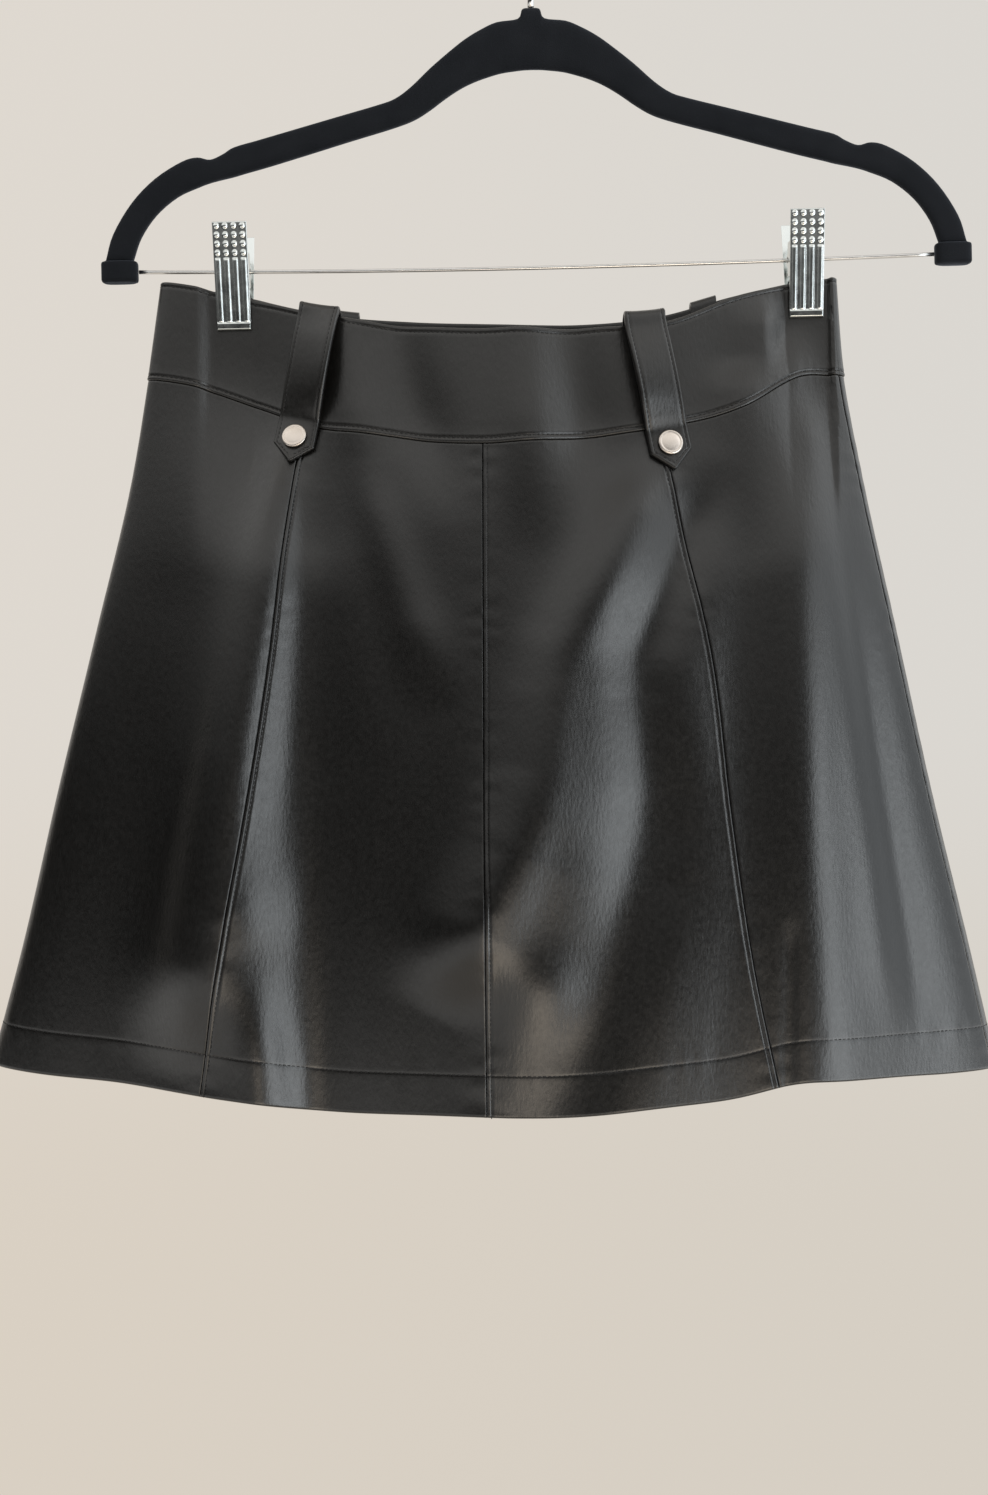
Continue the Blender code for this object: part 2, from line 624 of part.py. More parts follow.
def hook_points():
    centre = HOOK_WIRE - HOOK_BEND
    bend = [(HOOK_BEND * math.cos(math.radians(a)), centre + HOOK_BEND * math.sin(math.radians(a)))
            for a in np.arange(HOOK_START, HOOK_END, HOOK_STEP)]
    return SHANK + bend


def bar_height(x):
    return BAR_END[1] - BAR_SAG * (1 - (x / BAR_END[0]) ** 2)


def bar_points():
    return [(x, bar_height(x)) for x in np.linspace(-BAR_END[0], BAR_END[0], BAR_POINTS)]


# ---- clips ------------------------------------------------------------------
def prism(bm, outline, low, high, axis):
    """Closed prism of a flat outline, from low to high along axis 0 (X) or 1 (Y) or 2 (Z)."""
    def lifted(p, level):
        point = list(p)
        point.insert(axis, level)
        return point
    rings(bm, [[lifted(p, low) for p in outline], [lifted(p, high) for p in outline]])


def plate_frame(place, face):
    """Placement of a plate whose outer face looks along -Y, foot at the origin."""
    lean = Matrix.Rotation(PLATE_LEAN, 4, "X")
    shift = Matrix.Translation((0.0, -PLATE_FOOT_Y, 0.0))
    turn = Matrix.Rotation(math.pi if face == "back" else 0.0, 4, "Z")
    return Matrix.Translation((place, 0.0, CLIP_FOOT)) @ turn @ shift @ lean


def plate_details(height):
    """Ribs and bumps that stand on a plate's outer face, each sunk a little into it."""
    bm = bmesh.new()
    cell = CLIP_WIDTH / RIB_COUNT
    bumps_foot = height - BUMP_ROWS * cell
    for i in range(RIB_COUNT):
        x = -CLIP_WIDTH / 2 + (i + 0.5) * cell
        foot_half, top_half = RIB_HALF
        rib = [(x - foot_half, -PLATE + SUNK), (x - top_half, -PLATE - RIB_HEIGHT),
               (x + top_half, -PLATE - RIB_HEIGHT), (x + foot_half, -PLATE + SUNK)]
        prism(bm, rib, RIB_FOOT, bumps_foot - RIB_TOP_GAP, 2)
        for j in range(BUMP_ROWS):
            z = bumps_foot + (j + 0.5) * cell
            bump = []
            for radius, rise in BUMP_OUTLINE:
                bump.append([(x + radius * math.cos(a), -PLATE - rise, z + radius * math.sin(a))
                             for a in np.linspace(0, 2 * math.pi, BUMP_SIDES, endpoint=False)])
            rings(bm, bump)
    return bm


def make_plate(name, place, face):
    """Ribbed plate with two ears that sit on the bar."""
    height = (CLIP_TOP - CLIP_FOOT) / math.cos(PLATE_LEAN)
    bar_rise = bar_height(place) - CLIP_FOOT
    bar_z = bar_rise * math.cos(PLATE_LEAN) - PLATE_FOOT_Y * math.sin(PLATE_LEAN)
    bar_y = PLATE_FOOT_Y * math.cos(PLATE_LEAN) + bar_rise * math.sin(PLATE_LEAN)
    placement = plate_frame(place, face)
    bm = bmesh.new()
    lip = -PLATE - LIP_RISE
    outline = [(-PLATE, 0.0), (lip, LIP_RISE), (lip, RIB_FOOT - 2 * LIP_RISE), (-PLATE, RIB_FOOT - LIP_RISE),
               (-PLATE, height), (0.0, height), (0.0, 0.0)]
    prism(bm, outline, -CLIP_WIDTH / 2, CLIP_WIDTH / 2, 0)
    bm.transform(placement)
    plate = new_object(name, bm, "clip_metal")

    details = plate_details(height)
    ear = [(bar_y + away, bar_z + up) for away, up in EAR_END]
    ear = [(-SUNK, bar_z - EAR_ROOT)] + ear + [(-SUNK, bar_z + EAR_ROOT)]
    outer = CLIP_WIDTH / 2 - EAR_INSET[face]
    prism(details, ear, outer - EAR, outer, 0)
    prism(details, ear, -outer, -outer + EAR, 0)
    details.transform(placement)
    added = new_object(name + "_added", details, "clip_metal", hidden=True)

    hole = bmesh.new()
    ring = [BAR_HOLE * np.array((math.cos(a), math.sin(a)))
            for a in np.linspace(0, 2 * math.pi, 10, endpoint=False)]
    prism(hole, [(bar_y + p[0], bar_z + p[1]) for p in ring], -CLIP_WIDTH, CLIP_WIDTH, 0)
    hole.transform(placement)
    cutter = new_object(name + "_hole", hole, "clip_metal", hidden=True)

    for tool, operation in ((added, "UNION"), (cutter, "DIFFERENCE")):
        modifier = plate.modifiers.new(operation.title(), "BOOLEAN")
        modifier.operation = operation
        modifier.object = tool
    return [plate, added, cutter]


def make_spring(name, place):
    """Coiled spring on the bar, as a ridged sleeve."""
    bm = bmesh.new()
    profile = [(BAR_HOLE, -SPRING_LENGTH / 2), (BAR_HOLE, SPRING_LENGTH / 2)]
    steps = 2 * SPRING_TURNS
    for i in range(steps + 1):
        radius = SPRING_RADIUS if i % 2 else SPRING_RADIUS - SPRING_GROOVE
        profile.append((radius, SPRING_LENGTH * (0.5 - i / steps)))
    skin = []
    for radius, x in profile:
        skin.append([(place + x, radius * math.cos(a), bar_height(place) + radius * math.sin(a))
                     for a in np.linspace(0, 2 * math.pi, SPRING_SIDES, endpoint=False)])
    rings(bm, skin, closed=True)
    return new_object(name, bm, "wire_metal")


# ---- assembly -----------------------------------------------------------------
def make_materials():
    for name, (colour, roughness, metallic) in MATERIALS.items():
        material = bpy.data.materials.get(name) or bpy.data.materials.new(name)
        material.use_nodes = True
        shader = material.node_tree.nodes["Principled BSDF"]
        shader.inputs["Base Color"].default_value = (*colour, 1.0)
        shader.inputs["Roughness"].default_value = roughness
        shader.inputs["Metallic"].default_value = metallic


def make_skirt():
    for name, start, end, columns in PANELS:
        make_panel(name, start, end, columns)
    left, right = SIDE_SEAM_TURN, math.pi + SIDE_SEAM_TURN
    make_waistband("waistband_front", "front", left, right)
    make_waistband("waistband_back", "back", right, 2 * math.pi + left)
    for side in ("left", "right"):
        make_loop("belt_loop_front_" + side, FRONT_LOOP, FRONT_LOOP_WIDTH)
        make_loop("belt_loop_back_" + side, BACK_LOOP, BACK_LOOP_WIDTH)
    for stud, loop in STUDS.items():
        make_stud(stud, loop)


def make_hanger():
    frame = bpy.data.objects.new("hanger_frame", None)
    bpy.context.scene.collection.objects.link(frame)
    frame.rotation_euler = (0.0, -HANG_TILT, 0.0)
    pieces = [make_hanger_body(),
              tube("hanger_hook", hook_points(), HOOK_WIRE, 10, "wire_metal"),
              tube("hanger_bar", bar_points(), BAR_WIRE, 8, "wire_metal")]
    for clip, place in CLIP_PLACES.items():
        pieces.append(make_spring(clip + "_spring", place))
        for face in ("front", "back"):
            pieces += make_plate(clip + "_" + face, place, face)
    for piece in pieces:
        piece.parent = frame


def main():
    for obj in list(bpy.data.objects):
        bpy.data.objects.remove(obj, do_unlink=True)
    make_materials()
    make_skirt()
    make_hanger()


main()
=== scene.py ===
"""Looks of a leather mini skirt on a clip hanger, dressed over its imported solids.

The skirt's sizes are those of the solids and are repeated here in millimetres, with
the finer creases, seams and stitches added; only the gap between sewn pieces is
narrower than in the solids. Every mesh is scaled to metres once, in make_piece.
+X runs to the right of the skirt's front, +Y from its front to its back.
"""

import functools
import math

import bmesh
import bpy
import numpy as np
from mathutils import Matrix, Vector


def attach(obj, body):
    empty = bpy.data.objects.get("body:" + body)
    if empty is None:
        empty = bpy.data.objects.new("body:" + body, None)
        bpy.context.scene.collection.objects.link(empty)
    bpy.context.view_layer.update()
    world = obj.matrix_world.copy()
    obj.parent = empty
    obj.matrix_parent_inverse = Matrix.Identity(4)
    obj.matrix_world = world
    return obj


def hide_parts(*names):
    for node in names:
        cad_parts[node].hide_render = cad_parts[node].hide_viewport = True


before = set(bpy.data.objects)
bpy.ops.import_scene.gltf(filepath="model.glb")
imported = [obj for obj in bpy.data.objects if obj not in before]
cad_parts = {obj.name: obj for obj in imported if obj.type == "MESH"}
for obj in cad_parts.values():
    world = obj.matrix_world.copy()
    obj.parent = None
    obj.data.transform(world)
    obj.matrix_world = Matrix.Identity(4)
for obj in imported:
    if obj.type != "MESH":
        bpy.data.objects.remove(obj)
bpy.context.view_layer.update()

MM = 0.001
SLOPE_STEP = 1e-3               # of share and angle, for the surface's slopes
SEARCH_STEPS = 26               # halvings, to find a height on the surface

# ---- skirt: the solids' sizes ---------------------------------------------------
GAP = 0.06                      # between pieces that are sewn together; 0.3 in the solids
PANEL_WALL = 1.2
BAND_WALL = 2.0
HEM_WALL = 2.2
HEM_DEPTH = 22.0                # to which the hem is turned up
HEM_RIM = 0.3                   # half the height over which the turned-up cloth ends
FOLD_POWER = 30                 # how tightly the cloth turns at the side folds
BAND_SHARE = 0.126              # share of the length that the waistband takes
WAIST_Z = (-200.5, -198.0)      # at the left and the right fold
HEM_Z = (-598.1, -599.6)
LENGTH = 398.0                  # from the waist's edge to the hem's, along the folds

# Sections of the skirt by share of its length: places of the two side folds, how far each
# face bulges between them, and half the depth of the folds.
SECTION_COLUMNS = ("down", "left", "right", "bulge_front", "bulge_back", "fold")
SECTIONS = [
    (0.000, -186.5, 156.4, 15.0, 13.0, 5.0),
    (0.126, -193.4, 160.6, 19.0, 16.0, 6.0),
    (0.250, -201.4, 169.9, 24.0, 19.0, 7.0),
    (0.450, -220.0, 187.6, 31.0, 24.0, 8.0),
    (0.650, -239.1, 205.2, 38.0, 28.0, 8.5),
    (0.850, -257.2, 224.6, 44.0, 32.0, 9.0),
    (1.000, -272.9, 238.6, 48.0, 35.0, 9.0),
]
# How far three lines hang below a straight one from fold to fold, by place across.
SAG_COLUMNS = ("across", "front_waist", "front_seam", "front_hem",
               "back_waist", "back_seam", "back_hem")
SAGS = [
    (-1.00, 0.0, 0.0, 0.0, 0.0, 0.0, 0.0),
    (-0.85, 4.7, 5.0, 2.2, 4.0, 4.5, 2.0),
    (-0.70, 10.8, 14.0, 3.8, 9.0, 10.5, 4.5),
    (-0.50, 20.8, 28.0, 5.7, 14.0, 16.0, 8.2),
    (-0.25, 28.2, 35.0, 13.0, 15.6, 18.0, 11.0),
    (0.00, 31.0, 38.8, 12.4, 16.0, 18.5, 12.0),
    (0.25, 30.2, 35.5, 8.7, 17.0, 18.5, 11.0),
    (0.50, 25.6, 28.5, 5.0, 14.0, 15.5, 8.2),
    (0.70, 11.2, 18.5, -1.0, 6.6, 8.5, 4.5),
    (0.88, 2.8, 0.5, 0.0, 2.0, 3.0, 1.8),
    (1.00, 0.0, 0.0, 0.0, 0.0, 0.0, 0.0),
]
# Large folds: place, half width and rise (below 0 for a hollow) at the waist and the hem,
# and the share of the length at which they start.
FOLD_COLUMNS = ("face", "place_waist", "place_hem", "width_waist", "width_hem",
                "rise_waist", "rise_hem", "start")
FOLDS = [
    ("front", -112.0, -140.0, 24.0, 36.0, 4.0, 8.0, 0.12),
    ("front", -165.0, -205.0, 18.0, 30.0, -2.0, -5.0, 0.20),
    ("front", -60.0, -64.0, 26.0, 44.0, -3.0, -8.0, 0.14),
    ("front", 66.0, 26.0, 28.0, 40.0, 4.0, 8.0, 0.14),
    ("front", 104.0, 124.0, 13.0, 21.0, -5.0, -13.0, 0.10),
    ("front", 134.0, 166.0, 14.0, 24.0, 2.0, 4.0, 0.16),
    ("back", -96.0, -132.0, 22.0, 34.0, 2.0, 9.0, 0.15),
    ("back", -50.0, -70.0, 20.0, 34.0, -2.0, -7.0, 0.25),
    ("back", 48.0, 62.0, 22.0, 38.0, -2.0, -8.0, 0.20),
    ("back", 96.0, 128.0, 20.0, 32.0, 2.0, 8.0, 0.15),
]
FOLD_GROWTH = 0.22              # share of the length over which a fold comes up
FOLD_FADE = 8                   # power with which folds and creases die out at the side folds

# Places of the seams across a face, at shares of the length.
SEAM_DOWN = (0.126, 0.250, 0.450, 0.650, 0.850, 1.000)
SEAMS = {
    "princess_left": ("front", (-113.5, -119.0, -126.8, -137.0, -148.5, -157.0)),
    "centre_front": ("front", (-22.9, -22.8, -22.5, -22.0, -21.3, -20.7)),
    "princess_right": ("front", (65.5, 74.4, 89.6, 97.8, 107.6, 118.0)),
    "centre_back": ("back", (-3.0, -4.0, -6.5, -9.0, -11.5, -14.0)),
}
SIDE_SEAM_TURN = -0.19          # from the side folds, round the skirt
SIDE_SEAMS = {
    "side_left": SIDE_SEAM_TURN,
    "side_right": math.pi + SIDE_SEAM_TURN,
    "side_left_again": 2 * math.pi + SIDE_SEAM_TURN,
}

# Panels: seam at the start and the end, going round from the left fold over the front,
# columns, and whether the start or the end is topstitched.
PANEL_COLUMNS = ("name", "start", "end", "columns", "stitched_start", "stitched_end")
PANELS = [
    ("front_side_left", "side_left", "princess_left", 72, False, False),
    ("front_centre_left", "princess_left", "centre_front", 56, True, False),
    ("front_centre_right", "centre_front", "princess_right", 58, True, True),
    ("front_side_right", "princess_right", "side_right", 74, False, False),
    ("back_right", "side_right", "centre_back", 120, False, False),
    ("back_left", "centre_back", "side_left_again", 120, True, False),
]
ROW_STEP = 2.3                  # height of a row of a panel's mesh
ROW_LEAST = 0.6                 # share of that height below which a row is left out
HEM_STITCH_ROWS = (2.6, 1.3, 0.8, 0.45, 0.2)    # above and below the hem's stitches
HEM_EDGE_ROWS = (3.0, 1.8, 1.0, 0.5, 0.22, 0.08, 0.0)

# Creases: from one point of a face (across and height) to another, half width and rise
# (below 0 for a hollow) at both, and the lengths over which it fades in and out.
CREASE_COLUMNS = ("face", "from_x", "from_z", "to_x", "to_z", "width_from", "width_to",
                  "rise_from", "rise_to", "fade_in", "fade_out")
CREASES = [
    # band
    ("front", -95.0, -222.0, -82.0, -300.0, 12.0, 14.0, 4.5, 6.5, 15.0, 65.0),
    ("front", -67.0, -222.0, -46.0, -300.0, 11.0, 14.0, -4.0, -4.0, 15.0, 65.0),
    ("front", -6.0, -222.0, 0.0, -310.0, 12.0, 16.0, 4.5, 5.5, 15.0, 75.0),
    ("front", 20.0, -222.0, 33.0, -300.0, 11.0, 15.0, -4.0, -4.0, 15.0, 65.0),
    # left princess seam: a ridge beside it and the hollow to the ridge's right
    ("front", -120.0, -285.0, -148.0, -450.0, 11.0, 19.0, 4.0, 12.0, 55.0, 40.0),
    ("front", -148.0, -450.0, -166.0, -570.0, 19.0, 25.0, 12.0, 14.0, 40.0, 60.0),
    ("front", -107.0, -310.0, -109.0, -450.0, 13.0, 26.0, -5.0, -11.0, 60.0, 40.0),
    ("front", -109.0, -450.0, -102.0, -625.0, 26.0, 28.0, -11.0, -10.0, 40.0, 20.0),
    ("front", -146.0, -518.0, -122.0, -515.0, 20.0, 22.0, 2.5, 2.5, 36.0, 36.0),
    ("front", -130.0, -560.0, -124.0, -625.0, 12.0, 14.0, 5.0, 5.0, 60.0, 20.0),
    # left of the centre seam
    ("front", -78.0, -310.0, -50.0, -400.0, 11.0, 13.0, 3.0, 4.0, 40.0, 50.0),
    # fold drawn aslant from the right loop to the centre seam, and the hollow beside it
    ("front", 58.0, -305.0, 12.0, -395.0, 13.0, 16.0, 3.5, 6.5, 40.0, 40.0),
    ("front", 12.0, -395.0, 0.0, -470.0, 16.0, 21.0, 6.5, 9.5, 40.0, 40.0),
    ("front", 0.0, -470.0, -36.0, -545.0, 21.0, 22.0, 9.5, 13.0, 40.0, 50.0),
    ("front", 88.0, -310.0, 52.0, -395.0, 13.0, 16.0, -3.5, -6.5, 40.0, 40.0),
    ("front", 52.0, -395.0, 58.0, -480.0, 16.0, 22.0, -6.5, -9.0, 40.0, 40.0),
    ("front", 58.0, -480.0, 10.0, -625.0, 22.0, 28.0, -9.0, -9.0, 40.0, 20.0),
    ("front", -8.0, -548.0, 22.0, -556.0, 18.0, 18.0, 2.5, 2.5, 30.0, 30.0),
    # right of the right princess seam
    ("front", 106.0, -250.0, 124.0, -625.0, 14.0, 21.0, 4.0, 12.0, 20.0, 20.0),
    ("front", 127.0, -215.0, 136.0, -625.0, 19.0, 24.0, 7.0, 10.0, 20.0, 20.0),
    ("front", 143.0, -270.0, 176.0, -560.0, 9.0, 11.0, 2.0, 2.0, 30.0, 60.0),
    ("front", 153.0, -320.0, 190.0, -560.0, 8.0, 10.0, -1.5, -2.0, 60.0, 60.0),
    ("front", 125.0, -528.0, 122.0, -610.0, 4.0, 4.0, -1.0, -1.0, 20.0, 20.0),
    # back
    ("back", -120.0, -290.0, -168.0, -620.0, 9.0, 18.0, 2.5, 5.4, 30.0, 20.0),
    ("back", -88.0, -285.0, -98.0, -620.0, 9.0, 20.0, -2.5, -5.4, 30.0, 20.0),
    ("back", -60.0, -300.0, -22.0, -470.0, 10.0, 16.0, 1.4, 2.9, 30.0, 60.0),
    ("back", -30.0, -420.0, -58.0, -620.0, 14.0, 22.0, 1.8, 4.3, 60.0, 20.0),
    ("back", 20.0, -290.0, 12.0, -480.0, 10.0, 15.0, -1.4, -2.2, 30.0, 60.0),
    ("back", 84.0, -282.0, 40.0, -505.0, 9.0, 16.0, 3.2, 5.4, 30.0, 60.0),
    ("back", 100.0, -300.0, 84.0, -620.0, 8.0, 16.0, -3.6, -5.8, 30.0, 20.0),
    ("back", 122.0, -276.0, 150.0, -620.0, 8.0, 17.0, 2.9, 5.0, 20.0, 20.0),
    ("back", 150.0, -300.0, 196.0, -620.0, 8.0, 14.0, -1.8, -3.2, 40.0, 20.0),
    ("back", -160.0, -300.0, -214.0, -620.0, 9.0, 16.0, -1.6, -3.2, 40.0, 20.0),
]

# Share of a crease's rise by which the hem hangs higher, and where this begins and ends.
TAKEN_UP = 0.25
TAKEN_UP_DOWN = (0.45, 1.0)

# Leather never lies quite even: amplitude, wavelength across and down, and phase.
UNEVEN_COLUMNS = ("depth", "across", "down", "phase")
UNEVEN = [
    (0.20, 96.0, 330.0, 0.4),
    (0.12, 58.0, -260.0, 2.1),
    (0.06, 37.0, 170.0, 4.0),
    (0.03, 19.0, -120.0, 1.2),
]
UNEVEN_TURN = {"front": 0.0, "back": 1.7}

# Relief of a sewn edge over the distance from it: a topstitched edge stands up in a
# narrow strip up to its stitches, a plain one is only rounded.
EDGE_STATIONS = (0.0, 0.12, 0.35, 0.8, 1.3, 1.8, 2.2, 2.6, 3.1, 3.9, 5.0)
STITCHED_EDGE = (-0.75, -0.30, 0.05, 0.25, 0.24, 0.02, -0.28, -0.10, 0.10, 0.06, 0.0)
PLAIN_EDGE = (-0.75, -0.34, -0.04, 0.04, 0.05, 0.04, 0.03, 0.02, 0.02, 0.01, 0.0)
STITCH_INSET = 2.2
ALLOWANCE = 9.0                 # turned-in edge inside a seam
ALLOWANCE_RISE = 0.7
ALLOWANCE_RIMS = (1.2, 0.8)     # over which it ends: away from the seam and at it
BAND_EDGE_SHARE = 0.5           # of a plain edge's relief, under the band
HEM_STITCH = 21.0               # above the hem's edge
HEM_GROOVE = (0.12, 0.6)        # depth and half width, pressed in by the hem's stitches
HEM_STEP = (0.03, 2.4, 0.2)     # rise of the doubled cloth, and where it ends below the stitches
HEM_ROUND = 1.1                 # height of the rounding at the hem's edge
HEM_LAP = 0.5                   # by which the outer face runs over the middle at that edge
LEAST_OUT = 0.3                 # and by which it may do so anywhere
# Small puckers that stitches draw: rise, spacing along the line and reach beside it.
SEAM_PUCKER = (0.10, 13.0, 6.0)
HEM_PUCKER = (0.09, 11.5, 6.5)
BAND_PUCKER = (0.08, 5.6, 5.0)

# ---- belt loops -------------------------------------------------------------------
LOOP_WALL = 2.0
LOOP_TAIL = 9.0                 # down the inside of the band
LOOP_SEAT = 1.1                 # between its tail and the band
LOOP_POINT = 9.0                # height of the pointed end
LOOP_TIP = 1.6                  # width that is left at the point
LOOP_ARCH = [math.radians(a) for a in (14, 42, 90, 138, 162)]
LOOP_SQUARE = (0.6, 0.5)        # powers of the turn over the waist's edge: 1 is round
FRONT_LOOP_WIDTH = 21.0
BACK_LOOP_WIDTH = 12.5
# Distance down from the waist's edge, and the gap behind the loop's two edges there.
LOOP_COLUMNS = ("below", "outer_edge", "inner_edge")
FRONT_LOOP = [
    (4.0, 4.6, 6.6),
    (14.0, 5.6, 8.2),
    (26.0, 5.8, 8.6),
    (37.0, 4.8, 7.2),
    (46.0, 2.9, 4.0),
    (52.0, 1.0, 1.1),
    (55.5, 0.5, 0.5),
    (62.0, 0.4, 0.4),
]
BACK_LOOP = [
    (4.0, 2.8, 2.8),
    (14.0, 3.2, 3.2),
    (30.0, 3.2, 3.2),
    (46.0, 2.6, 2.6),
    (56.0, 0.9, 0.9),
    (62.0, 0.5, 0.5),
]
# Face, place of the top and the foot, side on which the inner edge lies, height over the
# waist's edge, and the foot's distance below it.
LOOPS = {
    "belt_loop_front_left": ("front", -104.5, -119.0, 1, 1.9, 75.5),
    "belt_loop_front_right": ("front", 57.0, 72.0, -1, 4.2, 73.0),
    "belt_loop_back_left": ("back", -93.7, -96.0, 1, 1.3, 74.0),
    "belt_loop_back_right": ("back", 90.9, 93.0, -1, 1.3, 74.0),
}
LOOP_KINDS = {"front": (FRONT_LOOP, FRONT_LOOP_WIDTH), "back": (BACK_LOOP, BACK_LOOP_WIDTH)}
# Relief of a loop's edge over the distance from it.
LOOP_STATIONS = (0.0, 0.1, 0.3, 0.65, 1.1, 1.6, 2.0, 2.4, 3.0, 4.0)
LOOP_EDGE = (-1.0, -0.52, -0.16, 0.06, 0.12, 0.02, -0.22, -0.06, 0.06, 0.0)
LOOP_STITCH_INSET = 2.0
LOOP_STEP = 1.1                 # height of a row of a loop's mesh
LOOP_SLOPE = 0.02               # step for a loop's slopes
LOOP_TABLE = 40                 # points for each coarse row, to measure along a loop
LOOP_INNER_COLUMNS = 11
LOOP_POINT_ROWS = 16
LOOP_NARROW = 0.9               # share of a narrow row's half that its edges may take up
LOOP_LAST_ROW = 0.5             # least distance of a row from those of the foot or point

# ---- studs ----------------------------------------------------------------------
STUDS = {"stud_left": "belt_loop_front_left", "stud_right": "belt_loop_front_right"}
STUD_ABOVE_TIP = 13.0
STUD_SEAT = 0.5
# Turned outline of a stud: radius and height over the loop's face.
STUD_OUTLINE = [
    (5.0, -0.4), (5.7, 0.0), (6.1, 0.22), (6.28, 0.55), (6.25, 0.9), (6.05, 1.22), (5.7, 1.42),
    (5.3, 1.48), (5.0, 1.42), (4.8, 1.36), (4.55, 1.38), (4.2, 1.46), (3.4, 1.58),
    (2.4, 1.68), (1.3, 1.74), (0.4, 1.76),
]
STUD_SIDES = 48

# ---- hanger, in a frame of its own that hangs tilted ------------------------------
HANG_TILT = math.radians(1.3)
BODY_THICK = 5.4
TIP_THICK = 7.6
BODY_SIDES = 36
BODY_SQUARE = 3.2               # power of the section: 2 is an ellipse
# Right half: a point of the upper edge (X and Z) and the one of the lower edge below it.
BODY = [
    (0.0, -60.0, 0.0, -91.2),
    (4.4, -60.6, 4.2, -91.3),
    (6.8, -65.4, 6.8, -91.5),
    (17.5, -66.9, 15.5, -92.6),
    (25.5, -70.3, 23.0, -94.6),
    (33.5, -74.9, 30.0, -97.0),
    (41.5, -80.9, 37.0, -100.3),
    (52.0, -89.6, 44.5, -105.0),
    (62.0, -98.9, 52.0, -110.4),
    (70.5, -104.9, 60.5, -115.5),
    (79.5, -108.0, 72.0, -119.6),
    (100.0, -113.5, 94.0, -125.8),
    (120.0, -118.9, 115.0, -131.9),
    (140.0, -124.3, 135.0, -137.6),
    (153.0, -127.8, 148.0, -141.0),
    (158.8, -131.2, 153.5, -142.5),
    (165.4, -133.9, 160.0, -143.9),
    (172.0, -132.6, 165.5, -145.3),
    (180.0, -134.6, 171.5, -147.4),
    (193.8, -143.0, 182.5, -152.2),
    (206.0, -155.2, 193.5, -161.2),
    (215.8, -171.0, 201.5, -172.6),
    (219.8, -184.3, 205.8, -184.3),
]
BODY_FINER = 4                  # rows of the mesh for each row of BODY
BODY_SHARP = 60
TIP = ((203.6, 222.2), (-184.6, -195.6))    # across and height of the block at an arm's end
TIP_ROUND = 1.6
TIP_ROWS = 17

HOOK_WIRE = 1.7
HOOK_BEND = 20.0
HOOK_START = -55.0              # degrees, round the bend's middle
HOOK_END = 206.5
HOOK_STEP = 5.0
HOOK_SIDES = 20
SHANK = [(0.0, -59.7), (0.0, -54.0), (0.1, -49.0), (1.8, -44.0), (5.8, -39.2)]
BAR_WIRE = 1.0
BAR_END = (203.0, -190.2)
BAR_SAG = 2.4
BAR_HOLE = 1.5
BAR_SIDES = 14
BAR_POINTS = 49

# ---- clips on the bar --------------------------------------------------------------
CLIP_PLACES = {"clip_left": -154.5, "clip_right": 136.5}
CLIP_WIDTH = 17.4
CLIP_TOP = -169.6
CLIP_FOOT = -221.8
PLATE = 1.0
PLATE_FOOT_Y = 2.5
PLATE_LEAN = math.radians(9.0)
PINCH = 1.2                     # from the plane between front and back, inside a clip
CLIP_MARGIN = 2.0               # of flat cloth beside a clip
CLIP_ROLLS = (10.0, 4.5)        # width of the cloth's turn outside the left and right clip
CLIP_GRIP = (0.06, 0.36)        # shares of the length where the clips' hold starts to end and ends
BAND_FREE = 0.7                 # share of a crease that shows at the waist's edge
CLIP_STILL = (10.0, 24.0)       # from a clip's middle: no creases nearer, all of them further
CLIP_STILL_DOWN = (0.05, 0.12)  # the same down the skirt
LIP_RISE = 0.6
RIB_COUNT = 4
RIB_HEIGHT = 0.85
RIB_HALF = 1.3
RIB_FOOT = 4.0
RIB_END = 0.4                   # between a rib and the bumps
PLATE_ROUND = 0.5               # at a plate's edges
PLATE_EDGE = (0.0, 0.1, 0.3, 0.6)
BUMP_ROWS = 4
BUMP_RADIUS = 1.25
BUMP_HEIGHT = 0.75
EAR = 0.9
EAR_ROOT = 8.5                  # half the height of an ear where it meets the plate
EAR_SUNK = 0.2                  # into the plate, where an ear meets it
EAR_SIDES = 48
EAR_SHARP = 40
EAR_END = 3.1                   # radius of an ear round the bar
EAR_INSET = {"front": 0.5, "back": 1.8}
SPRING_RADIUS = 3.0             # of the coil's middle line
SPRING_WIRE = 0.58
SPRING_LENGTH = 9.2
SPRING_TURNS = 6
SPRING_STEPS = 20               # points of each turn
SPRING_SIDES = 8

# ---- stitches --------------------------------------------------------------------
THREAD = 0.24                   # radius
STITCH_PITCH = 2.4
STITCH_FILL = 0.66              # share of the pitch that a stitch covers
STITCH_SUNK = 0.02
STITCH_REACH = 0.4              # to each side of its middle, for a stitch's direction
STITCH_SIDES = 6
# Rings of a stitch: place along it and radius, as shares of its length and the thread's.
STITCH_RINGS = ((-0.46, 0.75), (-0.3, 1.0), (0.3, 1.0), (0.46, 0.75))
SEAM_RUN = (BAND_SHARE + 0.004, 0.999)  # shares of the length between which a seam is stitched
SEAM_RUN_POINTS = 400
LEVEL_RUN_POINTS = 1200
